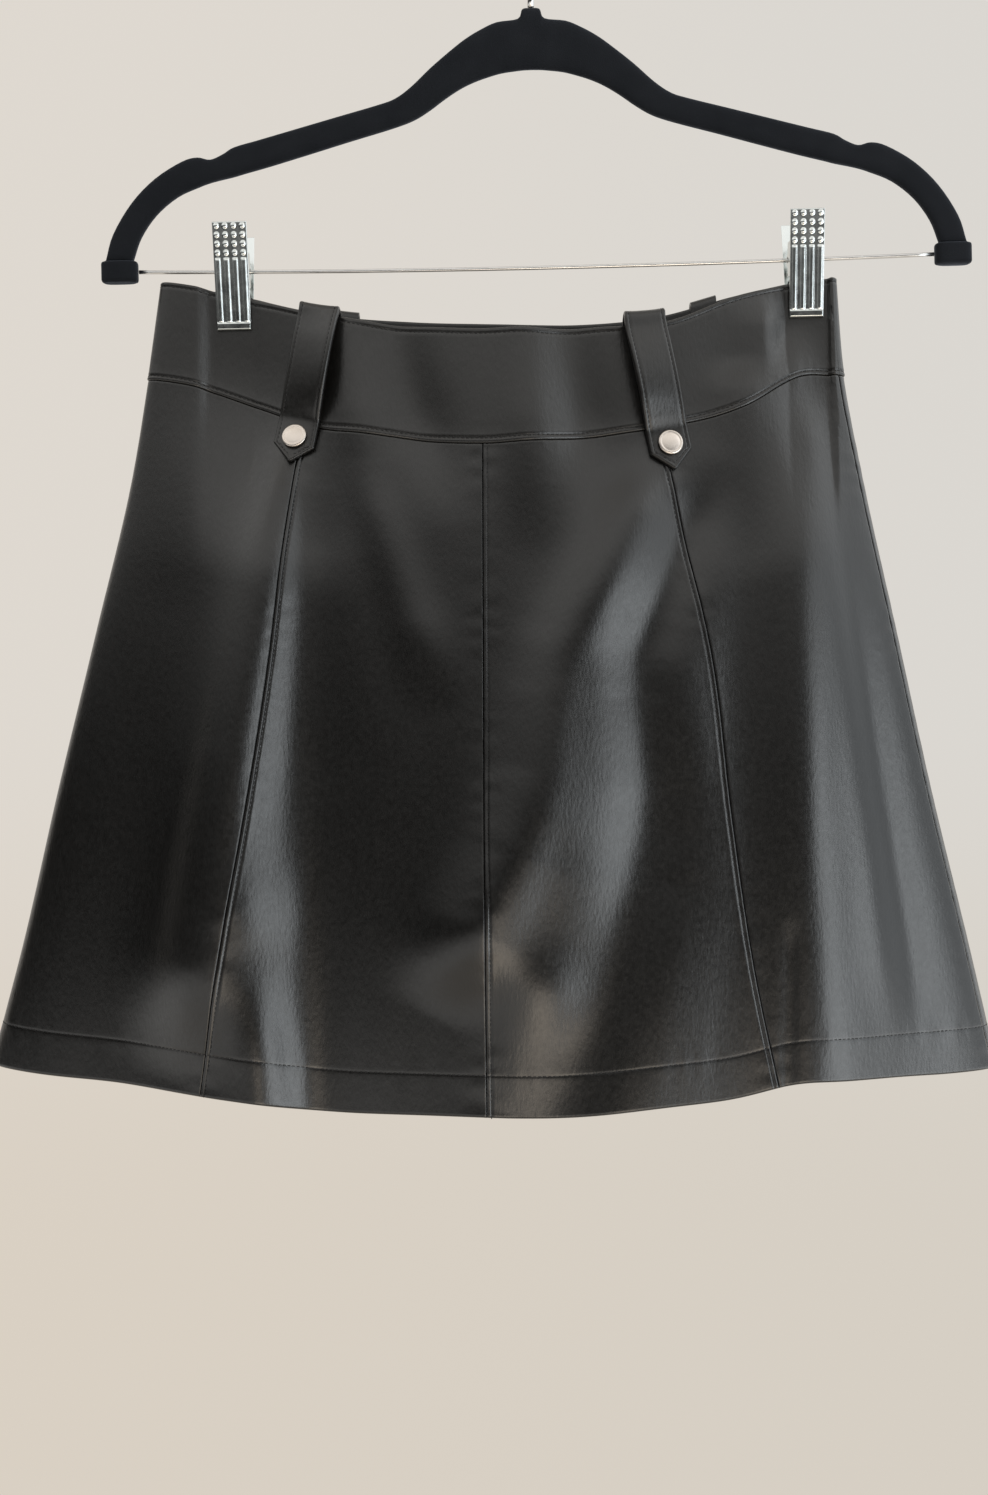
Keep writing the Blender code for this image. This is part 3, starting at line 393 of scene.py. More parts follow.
# Runs on a loop: start past its tail, end before its foot or point, inwards step at the
# shoulder, end before the tip and half the distance that is left there.
LOOP_RUN_START = 3.0
LOOP_RUN_END = 0.6
LOOP_RUN_STEP = 0.3
LOOP_RUN_TIP = 2.9
LOOP_RUN_MEETING = 0.4
LOOP_RUN_POINTS = {"side": 200, "point": 40, "foot": 60}
SEAM_PRESSED = 0.18             # depth of the stitches below the wall's face, by seam
HEM_PRESSED = 0.12
TRIM_PRESSED = 0.16


# ---- small helpers ---------------------------------------------------------------
def smooth_through(places, values, at):
    """Value at `at` on a smooth curve through (place, value) pairs."""
    places = np.asarray(places, dtype=float)
    values = np.asarray(values, dtype=float)
    slopes = np.gradient(values, places)
    at = np.asarray(at, dtype=float)
    clamped = np.clip(at, places[0], places[-1])
    index = np.clip(np.searchsorted(places, clamped) - 1, 0, len(places) - 2)
    span = places[index + 1] - places[index]
    t = (clamped - places[index]) / span
    start = (1 + 2 * t) * (1 - t) ** 2 * values[index] + t * (1 - t) ** 2 * span * slopes[index]
    end = t * t * (3 - 2 * t) * values[index + 1] + t * t * (t - 1) * span * slopes[index + 1]
    beyond = (at - clamped) * np.where(at > clamped, slopes[-1], slopes[0])
    return start + end + beyond


def ease(low, high, at):
    """0 below low, 1 above high and smooth between them."""
    t = np.clip((np.asarray(at, dtype=float) - low) / (high - low), 0.0, 1.0)
    return t * t * (3 - 2 * t)


def blend(low, high, share):
    return low + (high - low) * share


def bell(distance, half_width):
    """1 at a distance of 0, falling smoothly to nothing."""
    return np.exp(-(distance / half_width) ** 2)


def round_turns(count):
    return np.linspace(0, 2 * math.pi, count, endpoint=False)


def lengths_along(path):
    """Length of a line of points up to each of them."""
    steps = np.linalg.norm(np.diff(path, axis=0), axis=-1)
    return np.concatenate([[0.0], np.cumsum(steps)])


def column(table, names, name):
    """One named column of a table."""
    index = names.index(name)
    return [row[index] for row in table]


def section(name, down):
    """One column of SECTIONS at a share of the length."""
    return smooth_through(column(SECTIONS, SECTION_COLUMNS, "down"),
                          column(SECTIONS, SECTION_COLUMNS, name), down)


def unit(vectors):
    return vectors / np.linalg.norm(vectors, axis=-1, keepdims=True)


def turned(x, z):
    """A point of the hanger's own frame in the skirt's frame."""
    return (math.cos(HANG_TILT) * x - math.sin(HANG_TILT) * z,
            math.sin(HANG_TILT) * x + math.cos(HANG_TILT) * z)


def make_piece(name, points, faces, materials, slots=None, sharp=None):
    """Mesh object of points in millimetres and faces of point numbers, in metres."""
    mesh = bpy.data.meshes.new(name)
    face_lists = [list(map(int, face)) for face in faces]
    mesh.from_pydata((np.asarray(points) * MM).tolist(), [], face_lists)
    for material in materials:
        mesh.materials.append(material)
    if slots is not None:
        mesh.polygons.foreach_set("material_index", np.asarray(slots, dtype=np.int32))
    mesh.shade_smooth()
    if sharp is not None:
        mesh.set_sharp_from_angle(angle=math.radians(sharp))
    mesh.update()
    obj = bpy.data.objects.new(name, mesh)
    bpy.context.scene.collection.objects.link(obj)
    return obj


def grid_faces(rows, columns, first=0, flip=False):
    """Quads of a grid of points numbered row by row."""
    number = first + np.arange(rows * columns).reshape(rows, columns)
    corners = [number[:-1, :-1], number[1:, :-1], number[1:, 1:], number[:-1, 1:]]
    quads = np.stack(corners, axis=-1).reshape(-1, 4)
    return quads[:, ::-1] if flip else quads


def wall_faces(rows, columns):
    """Quads of a closed wall: the outer grid's, the inner grid's and the rim's."""
    count = rows * columns
    outer = grid_faces(rows, columns)
    inner = grid_faces(rows, columns, first=count, flip=True)
    number = np.arange(count).reshape(rows, columns)
    border = np.concatenate([number[0, :], number[1:, -1], number[-1, -2::-1], number[-2:0:-1, 0]])
    after = np.roll(border, -1)
    rim = np.stack([border, after, after + count, border + count], axis=-1)
    return outer, inner, rim


def make_wall(name, outer, inner, face_material, inner_material):
    """Closed wall between two grids of points: one material outside and on the rim, another inside."""
    rows, columns = outer.shape[:2]
    parts = wall_faces(rows, columns)
    points = np.concatenate([outer.reshape(-1, 3), inner.reshape(-1, 3)])
    slots = np.concatenate([np.full(len(part), slot) for part, slot in zip(parts, (0, 1, 0))])
    return make_piece(name, points, np.concatenate(parts), [face_material, inner_material], slots)


# ---- the cloth's surface ------------------------------------------------------------
def fold_rise(face, x, down):
    """Sum of the large folds of one face."""
    total = np.zeros_like(x)
    for row in FOLDS:
        fold = dict(zip(FOLD_COLUMNS, row))
        if fold["face"] == face:
            place = blend(fold["place_waist"], fold["place_hem"], down)
            width = blend(fold["width_waist"], fold["width_hem"], down)
            rise = blend(fold["rise_waist"], fold["rise_hem"], down)
            grown = ease(fold["start"], fold["start"] + FOLD_GROWTH, down)
            total += grown * rise * bell(x - place, width)
    return total


def crease_rise(face, x, z):
    """Sum of the creases of one face and its slight unevenness."""
    total = np.zeros_like(x)
    for row in CREASES:
        crease = dict(zip(CREASE_COLUMNS, row))
        if crease["face"] != face:
            continue
        line = np.array((crease["to_x"] - crease["from_x"], crease["to_z"] - crease["from_z"]))
        length = np.hypot(*line)
        ahead = line / length
        dx, dz = x - crease["from_x"], z - crease["from_z"]
        along = dx * ahead[0] + dz * ahead[1]
        beside = dz * ahead[0] - dx * ahead[1]
        share = np.clip(along / length, 0, 1)
        width = blend(crease["width_from"], crease["width_to"], share)
        rise = blend(crease["rise_from"], crease["rise_to"], share)
        fade_in, fade_out = crease["fade_in"] / 2, crease["fade_out"] / 2
        shown = ease(-fade_in, fade_in, along) * (1 - ease(length - fade_out, length + fade_out, along))
        total += rise * shown * bell(beside, width)
    for row in UNEVEN:
        wave = dict(zip(UNEVEN_COLUMNS, row))
        phase = wave["phase"] + UNEVEN_TURN[face]
        turns = x / wave["across"] + z / wave["down"]
        total += wave["depth"] * np.sin(2 * math.pi * turns + phase)
    return total


def clipped_depth(x, fold, bulge):
    """Depth at the clips' height: flat in each clip, an arc between, a roll outside."""
    left, right = (turned(place, CLIP_FOOT)[0] for place in CLIP_PLACES.values())
    flat = CLIP_WIDTH / 2 + CLIP_MARGIN
    middle, reach = (left + right) / 2, (right - left) / 2 - flat
    arc = (bulge + fold) * np.clip(1 - ((x - middle) / reach) ** 2, 0, 1)
    roll_left = ease(0.0, CLIP_ROLLS[0], left - flat - x)
    roll_right = ease(0.0, CLIP_ROLLS[1], x - right - flat)
    return PINCH + arc + (fold - PINCH) * (roll_left + roll_right)


def released(x, down):
    """Share of a crease that shows: little at the waist's edge, none in a clip."""
    free = blend(BAND_FREE, 1.0, ease(0.0, BAND_SHARE, down))
    for place in CLIP_PLACES.values():
        aside = ease(*CLIP_STILL, np.abs(x - turned(place, CLIP_FOOT)[0]))
        free = free * (1 - (1 - aside) * (1 - ease(*CLIP_STILL_DOWN, down)))
    return free


def creases(face, x, across, down, z):
    """Rise of the cloth by its creases, none at the side folds."""
    return released(x, down) * crease_rise(face, x, z) * (1 - across ** FOLD_FADE)


def half_depth(face, x, across, down, rises):
    """Distance of the cloth's middle surface from the plane between front and back."""
    fold = section("fold", down)
    bulge = section("bulge_" + face, down)
    round_end = np.sqrt(np.clip(1 - np.abs(across) ** FOLD_POWER, 0, 1))
    hanging = fold * round_end + bulge * (1 - across ** 2)
    held = clipped_depth(x, fold, bulge)
    held = np.where(held > fold, held, np.minimum(held, fold * round_end))
    grip = 1 - ease(CLIP_GRIP[0], CLIP_GRIP[1], down)
    folds = fold_rise(face, x, down) * (1 - across ** FOLD_FADE)
    return blend(hanging, held, grip) + rises + folds


def sag(face, across, down):
    """How far a face hangs below the straight line between the side folds."""
    places = column(SAGS, SAG_COLUMNS, "across")
    waist, seam, hem = (smooth_through(places, column(SAGS, SAG_COLUMNS, face + line), across)
                        for line in ("_waist", "_seam", "_hem"))
    band = np.minimum(down / BAND_SHARE, 1.0)
    body = np.maximum((down - BAND_SHARE) / (1 - BAND_SHARE), 0.0)
    return blend(blend(waist, seam, band), hem, body)


def surface(down, angle):
    """Points of the cloth's middle surface, creases included.

    angle goes round the skirt: 0 at the left fold, pi at the right fold, front
    between them and back from pi to two pi.
    """
    down, angle = np.broadcast_arrays(np.asarray(down, float), np.asarray(angle, float))
    across = -np.cos(angle)
    left, right = section("left", down), section("right", down)
    x = (left + right) / 2 + across * (right - left) / 2
    on_front = np.sin(angle) >= 0
    drop = np.where(on_front, sag("front", across, down), sag("back", across, down))
    side = (across + 1) / 2
    top = blend(WAIST_Z[0], WAIST_Z[1], side)
    foot = blend(HEM_Z[0], HEM_Z[1], side)
    z = blend(top, foot, down) - drop
    front = creases("front", x, across, down, z)
    back = creases("back", x, across, down, z)
    depth = np.where(on_front, -half_depth("front", x, across, down, front),
                     half_depth("back", x, across, down, back))
    taken_up = TAKEN_UP * ease(*TAKEN_UP_DOWN, down) * np.where(on_front, front, 0.0)
    return np.stack([x, depth, z + taken_up], axis=-1)


def outward(down, angle):
    """Unit normals of the surface, away from the inside of the skirt."""
    around = surface(down, angle + SLOPE_STEP) - surface(down, angle - SLOPE_STEP)
    along = surface(down + SLOPE_STEP, angle) - surface(down - SLOPE_STEP, angle)
    return unit(np.cross(along, around))


def face_angle(face, x, down):
    """Angle at which one face has a place across."""
    left, right = section("left", down), section("right", down)
    angle = np.arccos(np.clip(-(x - (left + right) / 2) / (right - left) * 2, -1.0, 1.0))
    return angle if face == "front" else 2 * math.pi - angle


def seam_angle(seam, down):
    """Angle of a seam at a share of the length."""
    if seam in SIDE_SEAMS:
        return np.full_like(down, SIDE_SEAMS[seam])
    face, places = SEAMS[seam]
    return face_angle(face, smooth_through(SEAM_DOWN, places, down), down)


def angle_per_mm(down, angle):
    ahead, behind = surface(down, angle + SLOPE_STEP), surface(down, angle - SLOPE_STEP)
    return 2 * SLOPE_STEP / np.linalg.norm(ahead - behind, axis=-1)


# ---- panels ---------------------------------------------------------------------
def edge_relief(distance, stitched):
    """Rise of the outer face near a sewn edge."""
    return np.interp(distance, EDGE_STATIONS, STITCHED_EDGE if stitched else PLAIN_EDGE)


def pucker(beside, along, size):
    """Uneven small puckers square to a line of stitches."""
    rise, spacing, reach = size
    turn = 2 * math.pi * along / spacing
    wave = np.sin(turn + 1.3 * np.sin(0.31 * turn)) * (0.6 + 0.4 * np.sin(0.173 * turn + 1.0))
    return rise * wave * bell(beside, reach)


def panel_rows():
    """Shares of the length of a panel's rows, close together at the band and the hem."""
    top = BAND_SHARE + (GAP / 2 + np.array(EDGE_STATIONS)) / LENGTH
    above = [HEM_STITCH + row for row in HEM_STITCH_ROWS]
    below = [HEM_STITCH - row for row in reversed(HEM_STITCH_ROWS)]
    low = 1 - np.array([*above, HEM_STITCH, *below, *HEM_EDGE_ROWS]) / LENGTH
    step = ROW_STEP / LENGTH
    body = np.arange(top[-1] + step, low[0] - ROW_LEAST * step, step)
    turned_up = 1 - (below[-1] - ROW_STEP) / LENGTH
    last = 1 - (HEM_EDGE_ROWS[0] + ROW_LEAST * ROW_STEP) / LENGTH
    return np.sort(np.concatenate([top, body, low, np.arange(turned_up, last, step)]))


def panel_angles(downs, start_seam, end_seam, columns):
    """Angles of a panel's points, and their distances from its two seams."""
    start, end = seam_angle(start_seam, downs), seam_angle(end_seam, downs)
    per_mm_start, per_mm_end = angle_per_mm(downs, start), angle_per_mm(downs, end)
    stations = np.array(EDGE_STATIONS) + GAP / 2
    low = start[:, None] + stations[None, :] * per_mm_start[:, None]
    high = (end[:, None] - stations[None, :] * per_mm_end[:, None])[:, ::-1]
    share = np.linspace(0, 1, columns + 2)[None, 1:-1]
    middle = blend(low[:, -1:], high[:, :1], share)
    angle = np.concatenate([low, middle, high], axis=1)
    from_start = (angle - start[:, None]) / per_mm_start[:, None] - GAP / 2
    from_end = (end[:, None] - angle) / per_mm_end[:, None] - GAP / 2
    return angle, from_start, from_end


def make_panel(row):
    panel = dict(zip(PANEL_COLUMNS, row))
    downs = panel_rows()
    angle, from_start, from_end = panel_angles(downs, panel["start"], panel["end"], panel["columns"])
    down = np.repeat(downs[:, None], angle.shape[1], axis=1)
    middle, normal = surface(down, angle), outward(down, angle)
    above_hem = (1 - down) * LENGTH
    from_band = (down - BAND_SHARE) * LENGTH - GAP / 2

    relief = edge_relief(from_start, panel["stitched_start"])
    relief = relief + edge_relief(from_end, panel["stitched_end"])
    relief = relief + BAND_EDGE_SHARE * edge_relief(from_band, False)
    relief -= HEM_GROOVE[0] * bell(above_hem - HEM_STITCH, HEM_GROOVE[1])
    rise, low, high = HEM_STEP
    relief += rise * (1 - ease(HEM_STITCH - low, HEM_STITCH - high, above_hem))
    relief += pucker(above_hem - HEM_STITCH, middle[..., 0], HEM_PUCKER)
    relief += pucker(from_start - STITCH_INSET, middle[..., 2], SEAM_PUCKER)
    relief += pucker(from_end - STITCH_INSET, middle[..., 2] + 5.0, SEAM_PUCKER)
    relief += pucker(from_band, middle[..., 0], BAND_PUCKER)
    near_hem = np.clip(1 - above_hem / HEM_ROUND, 0.0, 1.0)
    round_hem = 1 - np.sqrt(1 - near_hem ** 2)
    out = (PANEL_WALL / 2 + relief) * (1 - round_hem) - HEM_LAP * round_hem

    doubled = 1 - ease(HEM_DEPTH - HEM_RIM, HEM_DEPTH + HEM_RIM, above_hem)
    inner = PANEL_WALL / 2 + (HEM_WALL - PANEL_WALL) * doubled * (1 - round_hem)
    for distance in (from_start, from_end):
        turned_in = 1 - ease(ALLOWANCE - ALLOWANCE_RIMS[0], ALLOWANCE, distance)
        turned_in = turned_in * ease(-0.1, ALLOWANCE_RIMS[1], distance)
        inner = inner + ALLOWANCE_RISE * turned_in * (1 - doubled)
    outer_points = middle + normal * np.maximum(out, -LEAST_OUT)[..., None]
    inner_points = middle - normal * inner[..., None]
    return make_wall(panel["name"] + "_cloth", outer_points, inner_points, LEATHER, BACKING)


# ---- waistband ------------------------------------------------------------------
BAND_TOP_ROWS = (0.0, 0.08, 0.25, 0.55, 1.0, 1.5, 2.0, 2.4, 2.8, 3.4, 4.4)
BAND_ROWS = (6.2, 6.0, 1.9)     # first row below those, least distance from the foot, step
BAND_COLUMNS = 330
BAND_CROWDED = 0.5              # how much closer the columns lie at the side seams
BAND_STITCH_TOP = 2.4
BAND_GROOVE = (0.26, 0.42)      # depth and half width, pressed in by the stitches at the top
BAND_SWELL = (0.10, 0.5, 1.1)   # rise and half width of the edge above them, and how far above
BAND_ROUND = 1.0                # height of the rounding at the waist's edge


def make_waistband(name, start_turn, end_turn):
    """Half of the waistband, from one side seam to the other."""
    depth = BAND_SHARE * LENGTH - GAP / 2
    first, least, step = BAND_ROWS
    foot = depth - np.array(EDGE_STATIONS)[::-1]
    downs = np.concatenate([BAND_TOP_ROWS, np.arange(first, depth - least, step), foot]) / LENGTH
    turn = np.linspace(0, 1, BAND_COLUMNS)
    crowded = turn - BAND_CROWDED * np.sin(2 * math.pi * turn) / (2 * math.pi)
    start = start_turn + GAP / 2 * angle_per_mm(downs, np.full_like(downs, start_turn))
    end = end_turn - GAP / 2 * angle_per_mm(downs, np.full_like(downs, end_turn))
    angle = blend(start[:, None], end[:, None], crowded[None, :])
    down = np.repeat(downs[:, None], BAND_COLUMNS, axis=1)
    middle, normal = surface(down, angle), outward(down, angle)
    below = down * LENGTH
    above = depth - below
    bend = np.clip(1 - below / BAND_ROUND, 0.0, 1.0)
    half = BAND_WALL / 2 * np.sqrt(1 - bend ** 2)
    relief = edge_relief(above, True)
    relief -= BAND_GROOVE[0] * bell(below - BAND_STITCH_TOP, BAND_GROOVE[1])
    swell, swell_width, swell_above = BAND_SWELL
    relief += swell * bell(below - BAND_STITCH_TOP + swell_above, swell_width)
    relief += pucker(above - STITCH_INSET, middle[..., 0], BAND_PUCKER)
    relief += pucker(below - BAND_STITCH_TOP, middle[..., 0] + 3.0, BAND_PUCKER)
    out = half + relief * (half / (BAND_WALL / 2))
    outer_points = middle + normal * out[..., None]
    inner_points = middle - normal * half[..., None]
    return make_wall(name + "_cloth", outer_points, inner_points, TRIM, TRIM)


# ---- belt loops -------------------------------------------------------------------
def on_face(face, x, z):
    """Points of the cloth's middle surface at places across and heights."""
    low, high = np.full_like(x, -0.05), np.full_like(x, 1.0)
    for _ in range(SEARCH_STEPS):
        down = (low + high) / 2
        above = surface(down, face_angle(face, x, down))[..., 2] > z
        low, high = np.where(above, down, low), np.where(above, high, down)
    return surface(down, face_angle(face, x, down))


@functools.lru_cache(maxsize=None)
def loop_rows(name):
    """Coarse middle surface of a loop at full width: rows of three points."""
    face, x_top, x_foot, middle_side, rise, foot = LOOPS[name]
    rows, width = LOOP_KINDS[face]
    belows, outer_edge, inner_edge = (column(rows, LOOP_COLUMNS, title) for title in LOOP_COLUMNS)
    away = -1 if face == "front" else 1
    inner = BAND_WALL / 2 + LOOP_SEAT + LOOP_WALL / 2
    outer = BAND_WALL / 2 + LOOP_WALL / 2
    offsets = np.array((-width / 2, 0.0, width / 2))
    toward = (offsets * middle_side / (width / 2) + 1) / 2
    lean = unit(np.array((foot, x_foot - x_top), dtype=float))
    along_edge = x_top + offsets * lean[0]
    edges = surface(np.zeros(3), face_angle(face, along_edge, np.zeros(3)))

    def line(points, reach, lift=0.0):
        return points + np.stack([np.zeros(3), away * np.asarray(reach), np.full(3, lift)], axis=-1)

    behind = on_face(face, edges[:, 0], edges[:, 2] - LOOP_TAIL)
    grid = [line(behind, [-inner] * 3)]
    first = outer + blend(outer_edge[0], inner_edge[0], toward)
    for turn in LOOP_ARCH:
        cosine = math.cos(turn)
        swing = (1 - math.copysign(abs(cosine) ** LOOP_SQUARE[0], cosine)) / 2
        lift = blend(-belows[0], rise + LOOP_WALL / 2, math.sin(turn) ** LOOP_SQUARE[1])
        grid.append(line(edges, blend(-inner, first, swing), lift))
    middle_height = edges[1][2]
    for below in belows + [foot - LOOP_POINT, foot]:
        x = blend(x_top, x_foot, below / foot)
        held = min(below, belows[-1])
        gaps = [smooth_through(belows, edge, held) for edge in (outer_edge, inner_edge)]
        points = on_face(face, x + offsets * lean[0], middle_height - below + offsets * lean[1])
        grid.append(line(points, outer + blend(gaps[0], gaps[1], toward)))
    return np.array(grid)


def loop_width(name):
    return LOOP_KINDS[LOOPS[name][0]][1]


def loop_surface(name, along, beside):
    """Points of a loop's middle surface.

    along counts the coarse rows, whole numbers on them; beside is -1 to 1 across.
    """
    coarse = loop_rows(name)
    ends = 2 * coarse[:1] - coarse[1:2], 2 * coarse[-1:] - coarse[-2:-1]
    padded = np.concatenate([ends[0], coarse, ends[1]])
    step = np.clip(np.floor(along).astype(int), 0, len(coarse) - 2)
    t = (along - step)[..., None, None]
    before, here, ahead, beyond = (padded[step + k] for k in range(4))
    square = 2 * before - 5 * here + 4 * ahead - beyond
    cube = 3 * here - before - 3 * ahead + beyond
    rows_at = 0.5 * (2 * here + (ahead - before) * t + square * t ** 2 + cube * t ** 3)
    b = beside[..., None]
    left, middle, right = rows_at[..., 0, :], rows_at[..., 1, :], rows_at[..., 2, :]
    return middle + b * (right - left) / 2 + b * b * ((right + left) / 2 - middle)


def loop_normals(name, along, beside):
    near, far = (loop_surface(name, along + step, beside) for step in (-LOOP_SLOPE, LOOP_SLOPE))
    left, right = (loop_surface(name, along, beside + step) for step in (-LOOP_SLOPE, LOOP_SLOPE))
    return unit(np.cross(far - near, right - left))


@functools.lru_cache(maxsize=None)
def loop_lengths(name):
    """Along values, and the length in millimetres to each of them on the middle line."""
    count = len(loop_rows(name))
    along = np.linspace(0, count - 1, LOOP_TABLE * count)
    return along, lengths_along(loop_surface(name, along, np.zeros_like(along)))


def make_loop(name):
    pointed = name in STUDS.values()
    width = loop_width(name)
    along_table, lengths = loop_lengths(name)
    total = lengths[-1]
    shoulder = total - LOOP_POINT
    stations = np.array(LOOP_STATIONS)
    if pointed:
        foot = np.linspace(shoulder, total, LOOP_POINT_ROWS)
        slant = math.cos(math.atan2((width - LOOP_TIP) / 2, LOOP_POINT))
    else:
        foot = total - stations[::-1]
        slant = 1.0
    row_mm = np.concatenate([np.arange(0.0, foot[0] - LOOP_LAST_ROW, LOOP_STEP), foot])
    narrowed = np.clip((row_mm - shoulder) / LOOP_POINT, 0, 1) * pointed
    half_widths = blend(width / 2, LOOP_TIP / 2, narrowed)
    beside, from_edge = [], []
    for mm, half in zip(row_mm, half_widths):
        lean = slant if mm > shoulder else 1.0
        inset = stations / lean * min(1.0, LOOP_NARROW * half * lean / stations[-1])
        core = (half - inset[-1]) * np.linspace(-1, 1, LOOP_INNER_COLUMNS)[1:-1]
        places = np.concatenate([inset - half, core, (half - inset)[::-1]])
        beside.append(places / (width / 2))
        from_edge.append((half - np.abs(places)) * lean)
    beside, from_edge = np.array(beside), np.array(from_edge)
    if not pointed:
        from_edge = np.minimum(from_edge, (total - row_mm)[:, None])
    along = np.repeat(np.interp(row_mm, lengths, along_table)[:, None], beside.shape[1], axis=1)
    middle, normal = loop_surface(name, along, beside), loop_normals(name, along, beside)
    out = LOOP_WALL / 2 + np.interp(from_edge, LOOP_STATIONS, LOOP_EDGE)
    outer_points = middle + normal * out[..., None]
    inner_points = middle - normal * LOOP_WALL / 2
    return make_wall(name + "_cloth", outer_points, inner_points, TRIM, TRIM)


# ---- studs ----------------------------------------------------------------------
def make_stud(name, loop):
    """Domed stud on the flat end of a loop."""
    above, shoulder, tip = loop_rows(loop)[-3:]
    up = unit(above[1] - tip[1])
    axis = unit(np.cross(up, shoulder[2] - shoulder[0]))
    if axis[1] > 0:
        axis = -axis
    side = np.cross(up, axis)
    seat = tip[1] + up * STUD_ABOVE_TIP + axis * (LOOP_WALL / 2 + STUD_SEAT)
    points = [seat + radius * (math.cos(a) * side + math.sin(a) * up) + height * axis
              for radius, height in STUD_OUTLINE for a in round_turns(STUD_SIDES)]
    number = np.arange(len(points)).reshape(-1, STUD_SIDES)
    after = np.roll(number, -1, axis=1)
    faces = np.stack([number[:-1], after[:-1], after[1:], number[1:]], axis=-1).reshape(-1, 4).tolist()
    faces += [number[-1].tolist(), number[0, ::-1].tolist()]
    piece = make_piece(name + "_metal", points, faces, [STUD_METAL])
    face_outwards(piece)
    return piece


def face_outwards(piece):
    bm = bmesh.new()
    bm.from_mesh(piece.data)
    bmesh.ops.recalc_face_normals(bm, faces=bm.faces)
    bm.to_mesh(piece.data)
    bm.free()


# ---- hanger ---------------------------------------------------------------------
def tilt(points):
    """Points of the hanger's own frame in the skirt's frame."""
    points = np.asarray(points, dtype=float)
    x, z = turned(points[..., 0], points[..., 2])
    return np.stack([x, points[..., 1], z], axis=-1)


def make_skin(name, rings, material, sharp=None, closed=False):
    """Closed skin over rings with equal counts: capped at both ends, or joined end to start."""
    rings = np.asarray(rings)
    count, sides = rings.shape[:2]
    number = np.arange(count * sides).reshape(count, sides)
    if closed:
        number = np.concatenate([number, number[:1]])
    after = np.roll(number, -1, axis=1)
    faces = np.stack([number[:-1], after[:-1], after[1:], number[1:]], axis=-1).reshape(-1, 4).tolist()
    if not closed:
        faces += [number[0].tolist(), number[-1].tolist()]
    piece = make_piece(name, tilt(rings).reshape(-1, 3), faces, [material], sharp=sharp)
    face_outwards(piece)
    return piece


def make_tube(name, path, radius, sides, material):
    """Round wire through points of the hanger's frame that all have Y 0."""
    path = np.asarray(path, dtype=float)
    side = np.array((0.0, 1.0, 0.0))
    up = np.cross(side, unit(np.gradient(path, axis=0)))
    turns = round_turns(sides)[:, None]
    rings = [p + radius * (np.cos(turns) * side + np.sin(turns) * u) for p, u in zip(path, up)]
    return make_skin(name, rings, material)


def body_ring(upper, lower, thick):
    """Rounded section of the hanger's body between its upper and lower edge."""
    turns = round_turns(BODY_SIDES)
    along, out = (np.sign(wave) * np.abs(wave) ** (2 / BODY_SQUARE)
                  for wave in (np.cos(turns), np.sin(turns)))
    middle, reach = (upper + lower) / 2, (upper - lower) / 2
    ring = np.zeros((BODY_SIDES, 3))
    ring[:, 0] = middle[0] + along * reach[0]
    ring[:, 2] = middle[1] + along * reach[1]
    ring[:, 1] = out * thick / 2
    return ring


def make_hanger_body():
    """Body of the hanger, with a rounded block at the end of each arm."""
    table = np.array(BODY)
    step = np.arange(len(BODY), dtype=float)
    fine = np.linspace(0, len(BODY) - 1, (len(BODY) - 1) * BODY_FINER + 1)
    edges = np.stack([smooth_through(step, table[:, k], fine) for k in range(4)], axis=-1)
    right = [body_ring(row[:2], row[2:], BODY_THICK) for row in edges]
    (near, far), (top, foot) = TIP
    for below in np.linspace(0, top - foot, TIP_ROWS):
        end = min(below, top - foot - below)
        inset = TIP_ROUND - math.sqrt(max(TIP_ROUND ** 2 - max(TIP_ROUND - end, 0.0) ** 2, 0.0))
        upper, lower = (np.array((x, top - below)) for x in (far - inset, near + inset))
        right.append(body_ring(upper, lower, TIP_THICK - 2 * inset))
    left = [ring * np.array((-1.0, 1.0, 1.0)) for ring in right[:0:-1]]
    return make_skin("hanger_body_velvet", left + right, VELVET, sharp=BODY_SHARP)


def hook_path():
    centre = HOOK_WIRE - HOOK_BEND
    turns = np.radians(np.arange(HOOK_START, HOOK_END, HOOK_STEP))
    bend = [(HOOK_BEND * math.cos(a), 0.0, centre + HOOK_BEND * math.sin(a)) for a in turns]
    return [(x, 0.0, z) for x, z in SHANK] + bend


def bar_height(x):
    return BAR_END[1] - BAR_SAG * (1 - (x / BAR_END[0]) ** 2)


def plate_points(place, face, across, out, up):
    """Points of a clip's plate: across it, out from its inner face and up from its foot."""
    across, out, up = (np.asarray(value, dtype=float) for value in (across, out, up))
    away = PLATE_FOOT_Y + out * math.cos(PLATE_LEAN) + up * math.sin(PLATE_LEAN)
    z = CLIP_FOOT + up * math.cos(PLATE_LEAN) - out * math.sin(PLATE_LEAN)
    sign = -1.0 if face == "front" else 1.0
    x = across if face == "front" else -across
    return np.stack(np.broadcast_arrays(place + x, sign * away, z), axis=-1)


